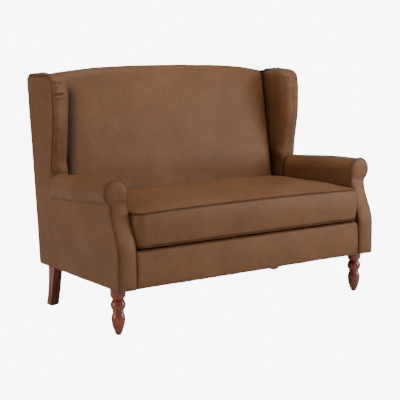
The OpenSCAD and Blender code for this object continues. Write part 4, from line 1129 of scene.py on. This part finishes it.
def rail_column(x, half):
    """The front rail in side view: from under it, up its face and over its rounded top."""
    corner = max(0.0, abs(x) - (half - RAIL_CORNER))
    drop = RAIL_CORNER - sqrt(max(0.0, RAIL_CORNER ** 2 - corner ** 2))
    top = RAIL_TOP - RAIL_TOP_IN - drop
    face = FACE + RAIL_FACE_IN + RAIL_CORNER_IN * (drop / RAIL_CORNER) ** 2
    low, high = BODY_LOW + RAIL_FOOT_ROUND, top - RAIL_ROUND
    column = [(x, face + RAIL_LIP_UNDER, BODY_LOW + 0.001), (x, face + 2 * RAIL_FOOT_ROUND, BODY_LOW)]
    for a in quarter_turn(FOOT_STEPS):
        column.append((x, face + RAIL_FOOT_ROUND - RAIL_FOOT_ROUND * sin(a),
                       BODY_LOW + RAIL_FOOT_ROUND - RAIL_FOOT_ROUND * cos(a)))
    for i in range(1, RAIL_STEPS):
        bulge = RAIL_FULL * sin(pi * i / RAIL_STEPS)
        column.append((x, face - bulge, mix(low, high, i / RAIL_STEPS)))
    for a in quarter_turn(ROUND_STEPS):
        column.append((x, face + RAIL_ROUND - RAIL_ROUND * cos(a), high + RAIL_ROUND * sin(a)))
    for i in range(1, ROUND_STEPS + 1):
        column.append((x, face + RAIL_ROUND + RAIL_LIP_OVER * i / ROUND_STEPS,
                       mix(top, RAIL_TOP - RAIL_LIP_IN, smooth(i / LIP_STEPS))))
    return column


def make_front_rail():
    half = ARM_IN - 0.001
    columns = [rail_column(mix(-half, half, t), half)
               for t in stations(2 * half, 0.012, first=(0.002, 0.006, 0.011, 0.018))]
    piece = sew("front_rail_leather", [grid(columns)], (0, -1, 0))
    ends = [[(side * half, FACE, z) for z in np.linspace(BODY_LOW, RAIL_TOP, 12)] for side in (-1, 1)]
    foot = [(x, FACE, BODY_LOW) for x in np.linspace(-half, half, 12)]
    work(piece, ends + [foot], sink=0.003, sink_width=0.012, pucker=0.0012, pucker_reach=0.03,
         loose=0.0016, seed=41.0)
    finish(piece, COVER)
    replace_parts(piece, "front_rail_cover", "front_rail_pad")


# Seat cushion

# The lower seam and the height of the border
SEAM_LOW, BORDER = CUSHION_LOW + 0.010, 0.134

# The plan: front edge, gap to the back, corners, the waist of the sides and the bow of the seam
CUSHION_SIDE = CUSHION_HALF - 0.001
CUSHION_FRONT, CUSHION_BACK_GAP = 0.0064, 0.0105
CUSHION_FRONT_R, CUSHION_REAR_R = 0.040, 0.044
CUSHION_WAIST, CUSHION_TAPER, SEAM_BOW = 0.005, 0.0065, 0.008

# How the top, the underside and the border are filled before the swelling
CUSHION_RISE, RISE_RUN, RISE_DEPTH_SHARE = 0.010, 1.6, 0.62
UNDER_RISE, UNDER_RUN, CUSHION_HALF_DEEP = 0.0006, 0.030, 0.28
BORDER_FULL, BORDER_HALF, BORDER_MIDDLE, BORDER_DEEP_FULL = 0.004, 0.57, 0.29, 1.9
ACROSS_CELLS, DEEP_CELLS, BORDER_ROWS = 92, 48, 12

# The most that it swells on top and elsewhere, and how that is evened out
SWELL_TOP, SWELL_SIDE, SWELL_FRAMES = 0.016, 0.008, 20
OWN_SHARE, NEIGHBOUR_SHARE, IRON_ROUNDS = 0.4, 0.6, 14
HELD_REACH, TOP_FROM_SHARE = 0.0015, 0.9


def cushion_point(u, v, z):
    """The plan of the cushion: u across and v backwards, each from 0 to 1."""
    back = back_at(z) - CUSHION_BACK_GAP
    x = mix(-CUSHION_SIDE, CUSHION_SIDE, u)
    y = mix(CUSHION_FRONT, back, v)
    for sx in (-1, 1):
        x, y = squared_corner(x, y, (sx * CUSHION_SIDE, CUSHION_FRONT), CUSHION_FRONT_R, (-sx, 1))
        x, y = squared_corner(x, y, (sx * CUSHION_SIDE, back), CUSHION_REAR_R, (-sx, -1))
    waist = CUSHION_WAIST * max(0.0, 1 - (2 * v - 1) ** 2) + CUSHION_TAPER * v ** 3
    return x * (1 - waist / CUSHION_SIDE), y


def seam_lift(x):
    """How far the upper seam bows up in the middle."""
    return SEAM_BOW * max(0.0, 1 - (x / CUSHION_SIDE) ** 2)


def cushion_rim(us, vs):
    """The places round the edge of the cushion, anticlockwise from its left front corner."""
    return ([(u, 0.0) for u in us[:-1]] + [(1.0, v) for v in vs[:-1]]
            + [(u, 1.0) for u in reversed(us[1:])] + [(0.0, v) for v in reversed(vs[1:])])


def cushion_top(u, v, top_z):
    x, y = cushion_point(u, v, top_z)
    edge = min(1 - abs(2 * u - 1), (1 - abs(2 * v - 1)) * RISE_DEPTH_SHARE)
    rise = CUSHION_RISE * (1 - (1 - min(1.0, edge * RISE_RUN)) ** 3)
    return x, y, top_z + seam_lift(x) + rise


def cushion_under(u, v):
    x, y = cushion_point(u, v, SEAM_LOW)
    edge = min((1 - abs(2 * u - 1)) * CUSHION_SIDE, (1 - abs(2 * v - 1)) * CUSHION_HALF_DEEP)
    return x, y, mix(SEAM_LOW, CUSHION_LOW + UNDER_RISE, smooth(edge / UNDER_RUN))


def cushion_border(u, v, t, top_z):
    """A point of the border, t of the way up from the lower seam to the upper one."""
    x0, y0 = cushion_point(u, v, SEAM_LOW)
    x1, y1 = cushion_point(u, v, top_z)
    full = 1 + BORDER_FULL * sin(pi * t) / BORDER_HALF
    deep = (mix(y0, y1, t) - BORDER_MIDDLE) * (1 + (full - 1) * BORDER_DEEP_FULL)
    return mix(x0, x1, t) * full, BORDER_MIDDLE + deep, mix(SEAM_LOW, top_z + seam_lift(x1), t)


def make_cushion():
    us = [i / ACROSS_CELLS for i in range(ACROSS_CELLS + 1)]
    vs = [i / DEEP_CELLS for i in range(DEEP_CELLS + 1)]
    top_z = SEAM_LOW + BORDER
    top = [[cushion_top(u, v, top_z) for u in us] for v in vs]
    under = [[cushion_under(u, v) for u in us] for v in vs]
    rim = cushion_rim(us, vs)
    band = [[cushion_border(u, v, i / (BORDER_ROWS - 1), top_z) for u, v in rim + rim[:1]]
            for i in range(BORDER_ROWS)]
    piece = sew("seat_cushion_leather", [grid(top), grid(under), grid(band)], None)
    rim_low, rim_high = band[0][:-1], band[-1][:-1]
    inflate(piece, rim_low, rim_high)
    work(piece, [rim_low + rim_low[:1], rim_high + rim_high[:1]], sink=0.0022, sink_width=0.008,
         pucker=0.0012, pucker_reach=0.022, loose=0.0014, seed=51.0, shade=0.0035)
    finish(piece, COVER, CUSHION)
    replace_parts(piece, "cushion_cover", "cushion_core")
    for number, line in enumerate((rim_low, rim_high)):
        welt = tube("cushion_piping_" + ("low", "high")[number],
                    even(line, PIPING_STEP, closed=True), CUSHION_PIPING_R, closed=True)
        finish(welt, PIPING, CUSHION, rounds=0)
        if number == 0:
            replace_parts(welt, "cushion_welts")


def ironed(mesh, move, fixed):
    """Evens out how far the points of the cushion swell, so that its border lies without ripples."""
    pairs = np.array([e.vertices[:] for e in mesh.edges])
    count = np.zeros(len(move))
    for side in (0, 1):
        np.add.at(count, pairs[:, side], 1)
    for _ in range(IRON_ROUNDS):
        total = np.zeros_like(move)
        np.add.at(total, pairs[:, 0], move[pairs[:, 1]])
        np.add.at(total, pairs[:, 1], move[pairs[:, 0]])
        evened = OWN_SHARE * move + NEIGHBOUR_SHARE * total / np.maximum(count, 1)[:, None]
        move = np.where(fixed[:, None], move, evened)
    return move


def inflate(piece, *held):
    """Fills the cushion with pressure as cloth, its seams and its flat underside held."""
    mesh = piece.data
    start = corners_of(mesh)
    fixed = start[:, 2] < SEAM_LOW - 0.001
    for line in held:
        far, _ = line_distance(start, placed(line + line[:1]))
        fixed |= far < HELD_REACH
    pins = piece.vertex_groups.new(name="seams")
    pins.add([int(i) for i in np.nonzero(fixed)[0]], 1.0, "REPLACE")
    cover = piece.modifiers.new("fill", "CLOTH")
    settings = cover.settings
    settings.vertex_group_mass = "seams"
    settings.use_pressure = True
    settings.uniform_pressure_force = 4.0
    settings.effector_weights.gravity = 0.0
    settings.quality = 6
    settings.mass = 0.4
    settings.tension_stiffness = settings.compression_stiffness = 25
    settings.bending_stiffness = 2.0
    settings.shrink_min = -0.012
    cover.collision_settings.use_collision = False
    scene.frame_start, scene.frame_end = 1, SWELL_FRAMES
    for number in range(1, SWELL_FRAMES + 1):
        scene.frame_set(number)
    swollen = piece.evaluated_get(bpy.context.evaluated_depsgraph_get())
    move = corners_of(swollen.data) - start
    length = np.linalg.norm(move, axis=1)
    most = np.where(start[:, 2] > SEAM_LOW + BORDER * TOP_FROM_SHARE, SWELL_TOP, SWELL_SIDE)
    move *= (np.minimum(length, most) / np.maximum(length, 1e-9))[:, None]
    move = ironed(mesh, move, fixed)
    piece.modifiers.remove(cover)
    scene.frame_set(1)
    mesh.vertices.foreach_set("co", (start + move).astype(np.float32).ravel())
    mesh.update()


# Cloths on the seat and under the body

CLOTH_STEP = 0.03


def make_flat_cloth(node_name, material, bow, facing):
    """A stretched cloth that fills the box of its solid and bows up in its middle."""
    low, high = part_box(node_name)
    rows = []
    for t in stations(high.x - low.x, CLOTH_STEP):
        row = []
        for v in stations(high.y - low.y, CLOTH_STEP):
            rise = bow * sin(pi * t) * sin(pi * v)
            row.append((mix(low.x, high.x, t), mix(low.y, high.y, v) - FRONT,
                        mix(low.z, high.z, 0.5) + rise))
        rows.append(row)
    piece = sew(node_name + "_weave", [grid(rows)], (0, 0, facing))
    finish(piece, material, rounds=0)
    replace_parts(piece, node_name)


# Floor, light and camera

STUDIO_HALF, STUDIO_TALL, PAPER_GLOW = 30.0, 18.0, 8.3
CAMERA_AT = (-2.5413, -3.2892 + FRONT, 1.1013)
CAMERA_YAW, CAMERA_TILT, CAMERA_ROLL = -34.411, 81.611, -0.491
LENS, SENSOR = 91.495, 36.0
WORLD_LIGHT = 0.32


def make_paper(name, points, faces, glow, shown):
    """Studio paper: either the glowing white that the camera sees, or the sheet that returns light."""
    mesh = bpy.data.meshes.new(name)
    mesh.from_pydata(points, [], faces)
    paper = add_object(name, mesh)
    made = bpy.data.materials.new(name)
    made.use_nodes = True
    surface = made.node_tree.nodes["Principled BSDF"]
    surface.inputs["Base Color"].default_value = (0, 0, 0, 1) if shown else (0.80, 0.80, 0.80, 1)
    surface.inputs["Roughness"].default_value = 1.0
    surface.inputs["Specular IOR Level"].default_value = 0.0
    surface.inputs["Emission Color"].default_value = (1, 1, 1, 1)
    surface.inputs["Emission Strength"].default_value = glow
    mesh.materials.append(made)
    paper.visible_camera = shown
    paper.visible_diffuse = paper.visible_glossy = not shown
    paper.visible_transmission = paper.visible_shadow = not shown


def make_studio():
    size = STUDIO_HALF
    floor = [(-size, -size, 0), (size, -size, 0), (size, size, 0), (-size, size, 0)]
    roof = [(x, y, STUDIO_TALL) for x, y, _ in floor]
    make_paper("white_paper", floor + roof,
               [(0, 1, 2, 3), (4, 7, 6, 5), (0, 4, 5, 1), (1, 5, 6, 2), (2, 6, 7, 3), (3, 7, 4, 0)],
               PAPER_GLOW, True)
    make_paper("studio_floor", [(x, y, -0.001) for x, y, _ in floor], [(0, 1, 2, 3)], 0.0, False)


def make_light(name, where, aim, size, power):
    lamp = bpy.data.lights.new(name, "AREA")
    lamp.shape = "RECTANGLE"
    lamp.size, lamp.size_y = size
    lamp.energy = power
    holder = add_object(name, lamp)
    holder.location = where
    holder.rotation_euler = (Vector(aim) - Vector(where)).to_track_quat("-Z", "Y").to_euler()


def make_camera():
    lens = bpy.data.cameras.new("photo_camera")
    lens.lens, lens.sensor_width = LENS, SENSOR
    camera = add_object("photo_camera", lens)
    camera.location = CAMERA_AT
    turn = (Matrix.Rotation(radians(CAMERA_YAW), 4, "Z")
            @ Matrix.Rotation(radians(CAMERA_TILT), 4, "X")
            @ Matrix.Rotation(radians(CAMERA_ROLL), 4, "Z"))
    camera.rotation_euler = turn.to_euler()
    scene.camera = camera


make_camera()
make_studio()
make_light("key", (2.5, -2.3, 1.35), (0, 0, 0.5), (1.8, 1.6), 63)
make_light("fill", (-3.9, 0.45, 1.0), (0, 0.3, 0.5), (1.6, 1.4), 46)
make_light("top", (0.2, -1.0, 3.4), (0, 0, 0.2), (2.5, 2.5), 70)
world = bpy.data.worlds.new("studio")
world.use_nodes = True
sky = world.node_tree.nodes["Background"]
sky.inputs["Color"].default_value = (0.95, 0.95, 0.95, 1)
sky.inputs["Strength"].default_value = WORLD_LIGHT
scene.world = world

for side in (-1, 1):
    make_arm_front(side)
    make_arm(side)
    edge, crown = make_side_panel(side)
    make_wing(side, edge + crown[1:])
make_inside_back()
make_outside_back()
make_front_rail()
make_cushion()
make_flat_cloth("deck_cloth", DECK, 0.0012, 1)
make_flat_cloth("dust_cover", DUST, 0.001, -1)
